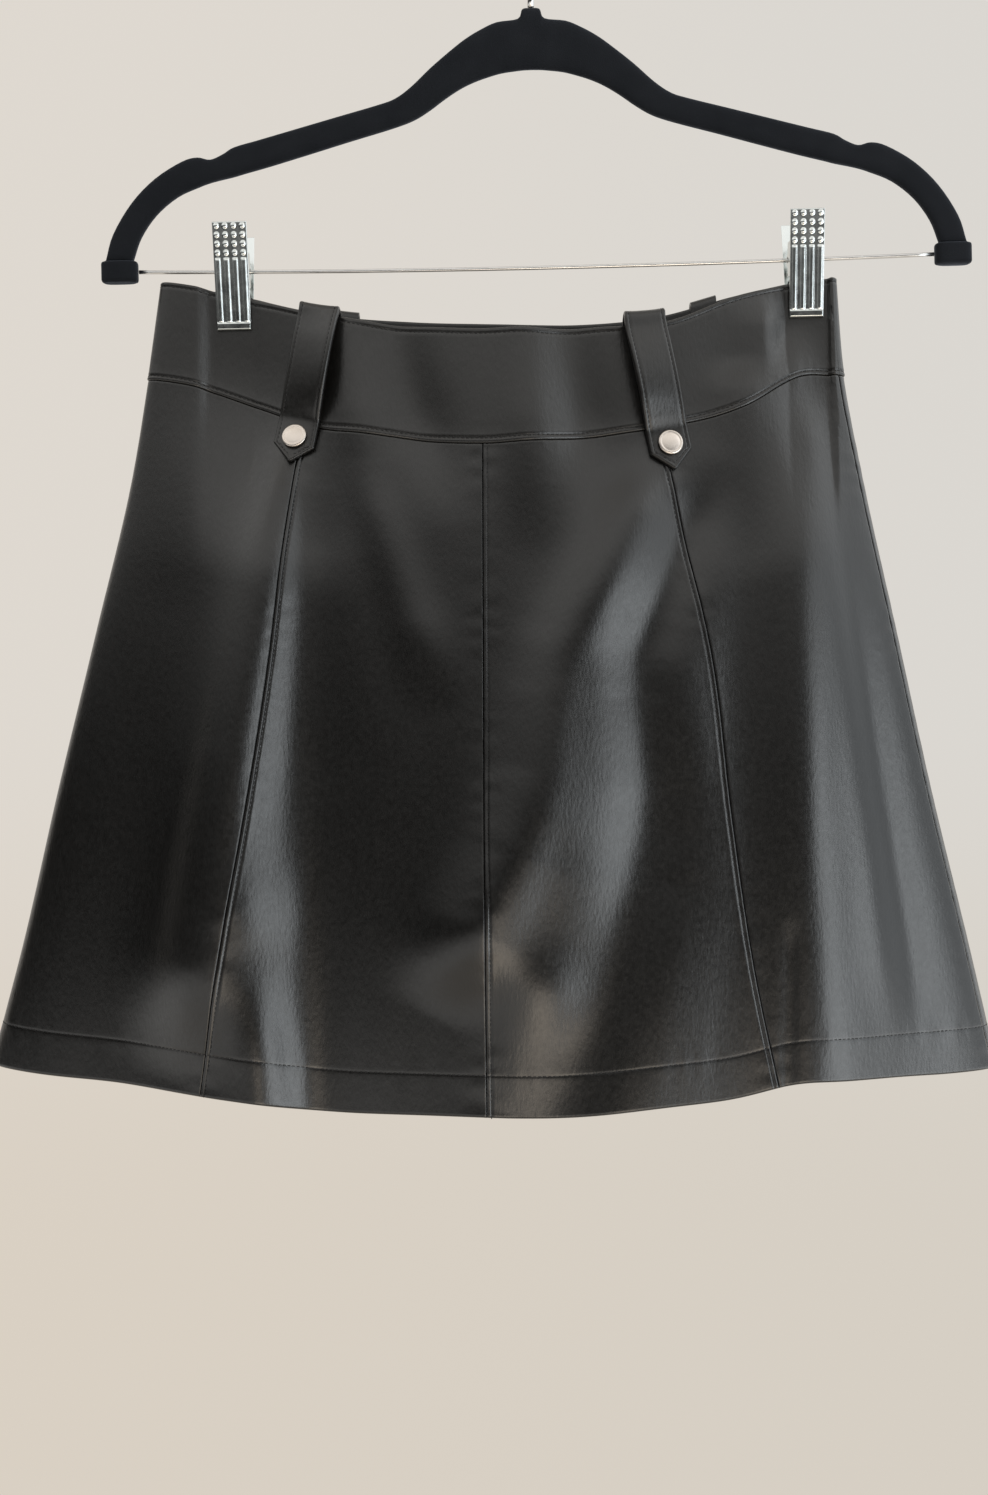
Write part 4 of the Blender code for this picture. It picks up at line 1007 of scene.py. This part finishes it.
def plate_relief(across, up, height):
    """Rise of a plate's outer face: a lip, half round ribs and rows of bumps."""
    cell = CLIP_WIDTH / RIB_COUNT
    bumps_foot = height - BUMP_ROWS * cell
    offset = np.mod(across + CLIP_WIDTH / 2, cell) - cell / 2
    rib = RIB_HEIGHT * np.sqrt(np.clip(1 - (offset / RIB_HALF) ** 2, 0, 1))
    end = np.clip((bumps_foot - RIB_END - up) / RIB_HALF, 0, 1)
    rib = rib * np.sqrt(1 - (1 - end) ** 2) * (up > RIB_FOOT - 0.2)
    from_middle = np.mod(up - bumps_foot, cell) - cell / 2
    round_top = np.clip(1 - (offset ** 2 + from_middle ** 2) / BUMP_RADIUS ** 2, 0, 1)
    bump = BUMP_HEIGHT * np.sqrt(round_top) * (up > bumps_foot)
    lip = LIP_RISE * ease(0.0, 0.5, up) * (1 - ease(RIB_FOOT - 0.7, RIB_FOOT - 0.1, up))
    return rib + bump + lip


def make_plate(name, place, face):
    """Ribbed plate of a clip."""
    height = (CLIP_TOP - CLIP_FOOT) / math.cos(PLATE_LEAN)
    half, edge = CLIP_WIDTH / 2, np.array(PLATE_EDGE)
    inner_columns = np.arange(0.85 - half, half - 0.7, 0.3)
    across = np.concatenate([edge - half, inner_columns, (half - edge)[::-1]])
    up = np.concatenate([edge, np.arange(0.9, height - 0.7, 0.36), (height - edge)[::-1]])
    across, up = np.meshgrid(across, up)
    to_edge = np.minimum.reduce([half - np.abs(across), up, height - up])
    near_edge = np.clip(1 - to_edge / PLATE_ROUND, 0, 1)
    rounded = PLATE_ROUND * (1 - np.sqrt(1 - near_edge ** 2))
    out = PLATE + plate_relief(across, up, height) * ease(0.0, PLATE_ROUND, to_edge) - rounded
    outer = tilt(plate_points(place, face, across, out, up))
    inner = tilt(plate_points(place, face, across, np.zeros_like(across), up))
    piece = make_wall(name + "_metal", outer, inner, CLIP_METAL, CLIP_METAL)
    face_outwards(piece)
    return piece


def make_ears(name, place, face):
    """Two ears that join a plate to the bar, with the bar's hole in them."""
    bar_rise = bar_height(place) - CLIP_FOOT
    bar_up = bar_rise * math.cos(PLATE_LEAN) - PLATE_FOOT_Y * math.sin(PLATE_LEAN)
    bar_out = -(PLATE_FOOT_Y * math.cos(PLATE_LEAN) + bar_rise * math.sin(PLATE_LEAN))
    turns = round_turns(EAR_SIDES)
    hole = np.full(EAR_SIDES, BAR_HOLE)
    reach = []
    for a in turns:
        ahead, aside = math.cos(a), max(abs(math.sin(a)), 1e-3)
        far = min((EAR_SUNK - bar_out) / ahead, EAR_ROOT / aside) if ahead > 0 else 0.0
        reach.append(max(far, EAR_END))
    outer = CLIP_WIDTH / 2 - EAR_INSET[face]
    pieces = []
    for label, side in (("left", -1), ("right", 1)):
        x_out, x_in = side * outer, side * (outer - EAR)
        rings = []
        for radius, x in ((reach, x_in), (reach, x_out), (hole, x_out), (hole, x_in)):
            out = bar_out + radius * np.cos(turns)
            up = bar_up + radius * np.sin(turns)
            rings.append(plate_points(place, face, np.full(EAR_SIDES, x), out, up))
        ear_name = "%s_ear_%s" % (name, label)
        pieces.append(make_skin(ear_name, rings, CLIP_METAL, sharp=EAR_SHARP, closed=True))
    return pieces


def make_spring(name, place):
    """Coiled spring on the bar."""
    turns = np.linspace(0, 2 * math.pi * SPRING_TURNS, SPRING_TURNS * SPRING_STEPS + 1)
    x = place + blend(-SPRING_LENGTH / 2, SPRING_LENGTH / 2, turns / turns[-1])
    middle = np.stack([x, np.zeros_like(x), np.full_like(x, bar_height(place))], axis=-1)
    away = np.stack([np.zeros_like(turns), np.sin(turns), np.cos(turns)], axis=-1)
    side = np.array((1.0, 0.0, 0.0))
    angle = round_turns(SPRING_SIDES)[:, None]
    rings = [m + SPRING_RADIUS * a + SPRING_WIRE * (np.cos(angle) * a + np.sin(angle) * side)
             for m, a in zip(middle, away)]
    return make_skin(name + "_coil", rings, WIRE_METAL)


# ---- stitches ---------------------------------------------------------------------
def stitch_template():
    """Capsule of unit length and radius along +X."""
    points, faces = [(-0.5, 0.0, 0.0)], []
    for x, r in STITCH_RINGS:
        points += [(x, r * math.cos(a), r * math.sin(a)) for a in round_turns(STITCH_SIDES)]
    points.append((0.5, 0.0, 0.0))
    last = len(points) - 1
    for k in range(STITCH_SIDES):
        after = (k + 1) % STITCH_SIDES
        faces.append((0, 1 + after, 1 + k))
        faces.append((last, last - STITCH_SIDES + k, last - STITCH_SIDES + after))
        for first in range(1, last - STITCH_SIDES, STITCH_SIDES):
            a, b = first + k, first + after
            faces.append((a, b, b + STITCH_SIDES, a + STITCH_SIDES))
    return np.array(points), faces


def at_lengths(places, lengths, values):
    """Values of a path's points at places along its length."""
    return np.stack([np.interp(places, lengths, values[:, k]) for k in range(3)], axis=-1)


def make_stitches(name, runs):
    """Stitches along runs of (points, normals), as one piece."""
    template, template_faces = stitch_template()
    long, wide, high = (template[:, k:k + 1] for k in range(3))
    points, faces = [], []
    for path, normals in runs:
        lengths = lengths_along(path)
        middles = np.arange(STITCH_PITCH / 2, lengths[-1], STITCH_PITCH)
        normal = unit(at_lengths(middles, lengths, normals))
        place = at_lengths(middles, lengths, path) - normal * STITCH_SUNK
        ahead = at_lengths(middles + STITCH_REACH, lengths, path)
        ahead = ahead - at_lengths(middles - STITCH_REACH, lengths, path)
        ahead = unit(ahead - normal * np.sum(ahead * normal, axis=-1, keepdims=True))
        for p, n, a, s in zip(place, normal, ahead, np.cross(normal, ahead)):
            first = len(template) * len(points)
            points.append(p + long * STITCH_PITCH * STITCH_FILL * a + wide * THREAD * s + high * THREAD * n)
            faces += [tuple(first + i for i in face) for face in template_faces]
    return make_piece(name, np.concatenate(points), faces, [THREAD_MATERIAL])


def seam_run(seam, side):
    """Run of stitches beside a seam, on its side 1 or -1."""
    downs = np.linspace(*SEAM_RUN, SEAM_RUN_POINTS)
    angle = seam_angle(seam, downs)
    angle = angle + side * (STITCH_INSET + GAP / 2) * angle_per_mm(downs, angle)
    normal = outward(downs, angle)
    return surface(downs, angle) + normal * (PANEL_WALL / 2 - SEAM_PRESSED), normal


def level_run(down, lift):
    """Run of stitches round the skirt at a share of the length."""
    angle = np.linspace(SIDE_SEAMS["side_left"], SIDE_SEAMS["side_left_again"], LEVEL_RUN_POINTS)
    normal = outward(np.full_like(angle, down), angle)
    return surface(np.full_like(angle, down), angle) + normal * lift, normal


def loop_runs(name):
    """Stitches down both edges of a loop, meeting in a point or across its foot."""
    pointed = name in STUDS.values()
    width = loop_width(name)
    along_table, lengths = loop_lengths(name)
    total = lengths[-1]
    shoulder = total - LOOP_POINT if pointed else total - LOOP_STITCH_INSET
    half = width / 2 - LOOP_STITCH_INSET
    down = np.linspace(LOOP_TAIL + LOOP_RUN_START, shoulder - LOOP_RUN_END, LOOP_RUN_POINTS["side"])
    runs = []
    for side in (-1, 1):
        path, places = down, np.full_like(down, side * half)
        if pointed:
            count = LOOP_RUN_POINTS["point"]
            path = np.concatenate([down, np.linspace(shoulder, total - LOOP_RUN_TIP, count)])
            inwards = np.linspace(half - LOOP_RUN_STEP, LOOP_RUN_MEETING, count)
            places = np.concatenate([places, side * inwards])
        runs.append((path, places))
    if not pointed:
        count = LOOP_RUN_POINTS["foot"]
        runs.append((np.full(count, shoulder), np.linspace(-half, half, count)))
    made = []
    for path, places in runs:
        along = np.interp(path, lengths, along_table)
        normal = loop_normals(name, along, places / (width / 2))
        point = loop_surface(name, along, places / (width / 2))
        made.append((point + normal * (LOOP_WALL / 2 - TRIM_PRESSED), normal))
    return made


# ---- materials ------------------------------------------------------------------
def new_material(name):
    """Material, its node tree, its shader and the object's own coordinates."""
    material = bpy.data.materials.new(name)
    material.use_nodes = True
    tree = material.node_tree
    place = tree.nodes.new("ShaderNodeTexCoord")
    return material, tree, tree.nodes["Principled BSDF"], place.outputs["Object"]


def add(tree, kind, **values):
    """Node of a kind, with sockets set by name and properties by attribute."""
    node = tree.nodes.new(kind)
    for key, value in values.items():
        socket = key.replace("_", " ")
        if socket in node.inputs:
            node.inputs[socket].default_value = value
        else:
            setattr(node, key, value)
    return node


def texture(tree, place, kind, **values):
    """Noise or Wave texture at a place."""
    node = add(tree, "ShaderNodeTex" + kind, **values)
    tree.links.new(place, node.inputs["Vector"])
    return node


def mixed(tree, factor, dark, light, target):
    """Colour between two, by a texture or value, led into target."""
    colour = add(tree, "ShaderNodeMix", data_type="RGBA", A=(*dark, 1.0), B=(*light, 1.0))
    tree.links.new(factor, colour.inputs["Factor"])
    tree.links.new(colour.outputs["Result"], target)


def glossed(tree, texture, roughness, shader):
    """Roughness between two values, by a texture."""
    gloss = add(tree, "ShaderNodeMapRange", From_Min=0.3, From_Max=0.7,
                To_Min=roughness[0], To_Max=roughness[1])
    tree.links.new(texture.outputs["Fac"], gloss.inputs["Value"])
    tree.links.new(gloss.outputs["Result"], shader.inputs["Roughness"])


def bumped(tree, layers, shader):
    """Bumps of (texture, distance, strength), one upon the other."""
    normal = None
    for texture, distance, strength in layers:
        bump = add(tree, "ShaderNodeBump", Strength=strength, Distance=distance)
        tree.links.new(texture.outputs["Fac"], bump.inputs["Height"])
        if normal is not None:
            tree.links.new(normal, bump.inputs["Normal"])
        normal = bump.outputs["Normal"]
    tree.links.new(normal, shader.inputs["Normal"])
    return normal


def finish(shader, **values):
    for key, value in values.items():
        shader.inputs[key.replace("_", " ")].default_value = value


def leather_material(name, dark, light, roughness, coat):
    """Imitation leather: fine grain drawn out downwards, soft gloss and slight clouding."""
    material, tree, shader, place = new_material(name)
    drawn_out = add(tree, "ShaderNodeMapping", Scale=(1.0, 1.0, 0.38))
    tree.links.new(place, drawn_out.inputs["Vector"])
    cloud = texture(tree, place, "Noise", Scale=14.0, Detail=4.0, Roughness=0.55)
    fine = texture(tree, place, "Noise", Scale=420.0, Detail=3.0, Roughness=0.55)
    ripple = texture(tree, place, "Noise", Scale=160.0, Detail=3.0, Roughness=0.5)
    grain = texture(tree, drawn_out.outputs["Vector"], "Noise", Scale=700.0, Detail=2.0, Roughness=0.5)
    mixed(tree, cloud.outputs["Fac"], dark, light, shader.inputs["Base Color"])
    glossed(tree, fine, roughness, shader)
    layers = ((ripple, 0.00025, 0.20), (fine, 0.00008, 0.25), (grain, 0.00016, 0.55))
    tree.links.new(bumped(tree, layers, shader), shader.inputs["Coat Normal"])
    finish(shader, IOR=1.5, Coat_Weight=coat, Coat_Roughness=0.29)
    return material


def backing_material():
    """Knitted backing of the leather, warm grey-brown."""
    material, tree, shader, place = new_material("leather_backing")
    weave = texture(tree, place, "Wave", Scale=520.0, Distortion=1.5, Detail=2.0)
    cloud = texture(tree, place, "Noise", Scale=60.0, Detail=4.0)
    mixed(tree, cloud.outputs["Fac"], (0.085, 0.066, 0.052), (0.15, 0.118, 0.095),
          shader.inputs["Base Color"])
    bumped(tree, ((weave, 0.0002, 0.4),), shader)
    finish(shader, Roughness=0.9)
    return material


def velvet_material():
    """Flocked velvet of the hanger, blue-black."""
    material, tree, shader, place = new_material("velvet_flock")
    flock = texture(tree, place, "Noise", Scale=1500.0, Detail=6.0, Roughness=0.7)
    cloud = texture(tree, place, "Noise", Scale=55.0, Detail=4.0)
    mixed(tree, cloud.outputs["Fac"], (0.0060, 0.0070, 0.0090), (0.0140, 0.0155, 0.0185),
          shader.inputs["Base Color"])
    bumped(tree, ((flock, 0.0004, 0.5),), shader)
    finish(shader, Roughness=1.0, Specular_IOR_Level=0.1, Sheen_Weight=0.22,
           Sheen_Roughness=0.45, Sheen_Tint=(0.62, 0.70, 0.85, 1.0))
    return material


def metal_material(name, dark, light, roughness, scratch):
    """Plated metal with fine wear in its gloss."""
    material, tree, shader, place = new_material(name)
    cloud = texture(tree, place, "Noise", Scale=180.0, Detail=5.0, Roughness=0.6)
    fine = texture(tree, place, "Noise", Scale=2400.0, Detail=3.0)
    mixed(tree, cloud.outputs["Fac"], dark, light, shader.inputs["Base Color"])
    glossed(tree, cloud, roughness, shader)
    bumped(tree, ((fine, 0.00003, scratch),), shader)
    finish(shader, Metallic=1.0)
    return material


def thread_material():
    material, tree, shader, place = new_material("thread")
    twist = texture(tree, place, "Wave", Scale=900.0, Distortion=1.0)
    bumped(tree, ((twist, 0.00005, 0.3),), shader)
    finish(shader, Base_Color=(0.007, 0.007, 0.008, 1.0), Roughness=0.62)
    return material


LEATHER = leather_material("black_leather", (0.0022, 0.0021, 0.0020),
                           (0.0042, 0.0040, 0.0037), (0.28, 0.37), 0.32)
TRIM = leather_material("black_leather_trim", (0.0048, 0.0047, 0.0045),
                        (0.0080, 0.0077, 0.0072), (0.30, 0.42), 0.25)
BACKING = backing_material()
VELVET = velvet_material()
STUD_METAL = metal_material("stud_nickel", (0.62, 0.56, 0.51), (0.72, 0.66, 0.60),
                            (0.28, 0.40), 0.25)
CLIP_METAL = metal_material("clip_nickel", (0.62, 0.66, 0.66), (0.80, 0.83, 0.82),
                            (0.14, 0.26), 0.2)
WIRE_METAL = metal_material("wire_steel", (0.60, 0.60, 0.60), (0.78, 0.78, 0.77),
                            (0.16, 0.28), 0.2)
THREAD_MATERIAL = thread_material()


# ---- dressing -------------------------------------------------------------------
def dress(piece, node):
    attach(piece, "root")
    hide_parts(node)


for panel_row in PANELS:
    panel_piece = make_panel(panel_row)
    panel_name = panel_row[0]
    dress(panel_piece, panel_name)

band_ends = {
    "waistband_front": (SIDE_SEAMS["side_left"], SIDE_SEAMS["side_right"]),
    "waistband_back": (SIDE_SEAMS["side_right"], SIDE_SEAMS["side_left_again"]),
}
for band_name, (band_start, band_end) in band_ends.items():
    band_piece = make_waistband(band_name, band_start, band_end)
    dress(band_piece, band_name)

for loop_name, loop in LOOPS.items():
    loop_piece = make_loop(loop_name)
    dress(loop_piece, loop_name)

for stud_name, loop_name in STUDS.items():
    dress(make_stud(stud_name, loop_name), stud_name)

panel_runs = [
    seam_run("princess_left", 1),
    seam_run("centre_front", 1),
    seam_run("princess_right", -1),
    seam_run("centre_back", 1),
    level_run(1 - HEM_STITCH / LENGTH, PANEL_WALL / 2 - HEM_PRESSED),
]
band_runs = [
    level_run(BAND_STITCH_TOP / LENGTH, BAND_WALL / 2 - TRIM_PRESSED),
    level_run(BAND_SHARE - (GAP / 2 + STITCH_INSET) / LENGTH, BAND_WALL / 2 - TRIM_PRESSED),
]
stitches = [make_stitches("stitches_panels", panel_runs), make_stitches("stitches_band", band_runs)]
for face in LOOP_KINDS:
    runs = [run for name, loop in LOOPS.items() if loop[0] == face for run in loop_runs(name)]
    stitches.append(make_stitches("stitches_loops_" + face, runs))
for piece in stitches:
    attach(piece, "root")

dress(make_hanger_body(), "hanger_body")
hook = make_tube("hanger_hook_wire", hook_path(), HOOK_WIRE, HOOK_SIDES, WIRE_METAL)
dress(hook, "hanger_hook")
bar_path = [(x, 0.0, bar_height(x)) for x in np.linspace(-BAR_END[0], BAR_END[0], BAR_POINTS)]
bar = make_tube("hanger_bar_wire", bar_path, BAR_WIRE, BAR_SIDES, WIRE_METAL)
dress(bar, "hanger_bar")
for clip_name, clip_place in CLIP_PLACES.items():
    dress(make_spring(clip_name + "_spring", clip_place), clip_name + "_spring")
    for face in ("front", "back"):
        plate = make_plate(clip_name + "_" + face, clip_place, face)
        dress(plate, clip_name + "_" + face)
        for ear in make_ears(clip_name + "_" + face, clip_place, face):
            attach(ear, "root")


# ---- room, lights and camera ------------------------------------------------------
def glow_material(name):
    """Material that only glows, and the parts of its place by axis."""
    material = bpy.data.materials.new(name)
    material.use_nodes = True
    tree = material.node_tree
    tree.nodes.clear()
    place = tree.nodes.new("ShaderNodeTexCoord")
    split = tree.nodes.new("ShaderNodeSeparateXYZ")
    tree.links.new(place.outputs["Object"], split.inputs["Vector"])
    glow = tree.nodes.new("ShaderNodeEmission")
    out = tree.nodes.new("ShaderNodeOutputMaterial")
    tree.links.new(glow.outputs["Emission"], out.inputs["Surface"])
    return material, tree, split, glow


def ramp(tree, split, axis, low, high, start=0.0, end=1.0):
    """Value that goes smoothly from start to end between two places on an axis."""
    node = add(tree, "ShaderNodeMapRange", interpolation_type="SMOOTHSTEP",
               From_Min=low, From_Max=high, To_Min=start, To_Max=end)
    tree.links.new(split.outputs[axis], node.inputs["Value"])
    return node.outputs["Result"]


# Painted light and shade in the wall's glow, from one place to another on an axis; A and B are multiplied.
WALL_PAINTED_LIGHT = {
    "A": ("X", -1.4, 1.4, (0.735, 0.690, 0.632), (0.705, 0.680, 0.640)),
    "B": ("Z", -1.55, -0.3, (0.950, 0.915, 0.865), (1.0, 1.0, 1.0)),
}


def wall_material():
    """Pale glowing wall with painted light and shade: a little brighter and warmer on the left, warmer and
    darker towards the floor.
    """
    material, tree, split, glow = glow_material("room_wall")
    both = add(tree, "ShaderNodeMix", data_type="RGBA", blend_type="MULTIPLY", Factor=1.0)
    for socket, (axis, low, high, start, end) in WALL_PAINTED_LIGHT.items():
        mixed(tree, ramp(tree, split, axis, low, high), start, end, both.inputs[socket])
    tree.links.new(both.outputs["Result"], glow.inputs["Color"])
    return material


# The room, in metres: height of the floor and the ceiling, and radius of the wall, of
# the floor's flat part and of the bends between them.
ROOM_FLOOR, ROOM_CEILING = -1.55, 2.6
ROOM_WALL, ROOM_FLAT, ROOM_BEND = 2.7, 1.9, 0.8
ROOM_SIDES = 64


def make_bowl():
    """Pale floor that turns up into a pale wall all round."""
    profile = [(0.0, ROOM_FLOOR), (1.0, ROOM_FLOOR), (ROOM_FLAT, ROOM_FLOOR)]
    for a in np.radians((15, 30, 45, 60, 75, 90)):
        profile.append((ROOM_FLAT + ROOM_BEND * math.sin(a), ROOM_FLOOR + ROOM_BEND * (1 - math.cos(a))))
    profile += [(ROOM_WALL, 0.2), (ROOM_WALL, 1.0), (ROOM_WALL, ROOM_CEILING - ROOM_BEND)]
    for a in np.radians((30, 60, 90)):
        profile.append((ROOM_FLAT + ROOM_BEND * math.cos(a), ROOM_CEILING - ROOM_BEND * (1 - math.sin(a))))
    profile += [(1.0, ROOM_CEILING), (0.0, ROOM_CEILING)]
    turns = np.append(round_turns(ROOM_SIDES), 0.0)
    points = [(r * math.cos(a), r * math.sin(a), z) for r, z in profile for a in turns]
    faces = grid_faces(len(profile), len(turns), flip=True)
    return make_piece("room", np.array(points) / MM, faces, [wall_material()])


# Glow of the card: between which heights it changes, and from what to what.
CARD_ABOVE = ("Z", -0.30, 0.95, 0.01, 1.20)
CARD_BELOW = ("Z", -1.00, -0.65, 1.05, 0.00)
CARD_COLOUR = (1.0, 0.985, 0.955, 1.0)
CARD_RADIUS = 1750.0
CARD_TURN = 105.0               # degrees to each side of the camera
CARD_HEIGHTS = (-1540.0, 1900.0)


def make_card():
    """Card round the camera: what the leather mirrors, seen by no camera.

    It is bright above, dim at the skirt's height and pale below.
    """
    material, tree, split, glow = glow_material("card")
    glow.inputs["Color"].default_value = CARD_COLOUR
    total = add(tree, "ShaderNodeMath", operation="ADD")
    for number, change in enumerate((CARD_ABOVE, CARD_BELOW)):
        tree.links.new(ramp(tree, split, *change), total.inputs[number])
    tree.links.new(total.outputs["Value"], glow.inputs["Strength"])
    turns = np.radians(np.linspace(-CARD_TURN, CARD_TURN, 43))
    heights = np.linspace(*CARD_HEIGHTS, 9)
    points = [(CARD_RADIUS * math.sin(a), -CARD_RADIUS * math.cos(a), z) for z in heights for a in turns]
    card = make_piece("card", points, grid_faces(len(heights), len(turns)), [material])
    card.visible_camera = False
    return card


LIGHT_TARGET = (-0.017, 0.0, -0.40)
LIGHT_DISTANCE = 1.5


def add_light(name, azimuth, elevation, size, radiance, colour):
    """Softbox that faces the skirt; azimuth 0 is in front of it, 90 at its right."""
    a, e = math.radians(azimuth), math.radians(elevation)
    ray = np.array((math.sin(a) * math.cos(e), -math.cos(a) * math.cos(e), math.sin(e)))
    lamp = bpy.data.lights.new(name, "AREA")
    lamp.shape = "RECTANGLE"
    lamp.size, lamp.size_y = size
    lamp.energy = radiance * math.pi * size[0] * size[1]
    lamp.color = colour
    obj = bpy.data.objects.new(name, lamp)
    bpy.context.scene.collection.objects.link(obj)
    obj.location = np.array(LIGHT_TARGET) + ray * LIGHT_DISTANCE
    obj.rotation_mode = "QUATERNION"
    obj.rotation_quaternion = Vector(-ray).to_track_quat("-Z", "Y")
    obj.visible_camera = False


make_bowl()
make_card()
add_light("window_near", 52.0, -12.0, (0.60, 1.20), 3.60, (0.92, 0.97, 1.0))
add_light("window_far", 85.0, 5.0, (2.10, 2.60), 1.00, (0.90, 0.96, 1.0))
add_light("ceiling", 0.0, 68.0, (2.50, 0.20), 0.65, (1.0, 0.97, 0.93))
add_light("warm_floor", 14.0, -30.0, (0.60, 0.70), 2.60, (1.0, 0.84, 0.66))

world = bpy.data.worlds.new("world")
world.use_nodes = True
background = world.node_tree.nodes["Background"]
background.inputs["Color"].default_value = (0.68, 0.64, 0.588, 1.0)
background.inputs["Strength"].default_value = 0.6
bpy.context.scene.world = world

camera_data = bpy.data.cameras.new("camera")
camera_data.lens = 32.044
camera_data.sensor_width = 36.0
camera_data.sensor_fit = "AUTO"
camera_data.clip_start = 0.01
camera = bpy.data.objects.new("camera", camera_data)
bpy.context.scene.collection.objects.link(camera)
camera.location = (-0.0174, -0.680, -0.4376)
camera.rotation_euler = (math.radians(90.0), 0.0, 0.0)
bpy.context.scene.camera = camera
bpy.context.scene.view_settings.view_transform = "Standard"
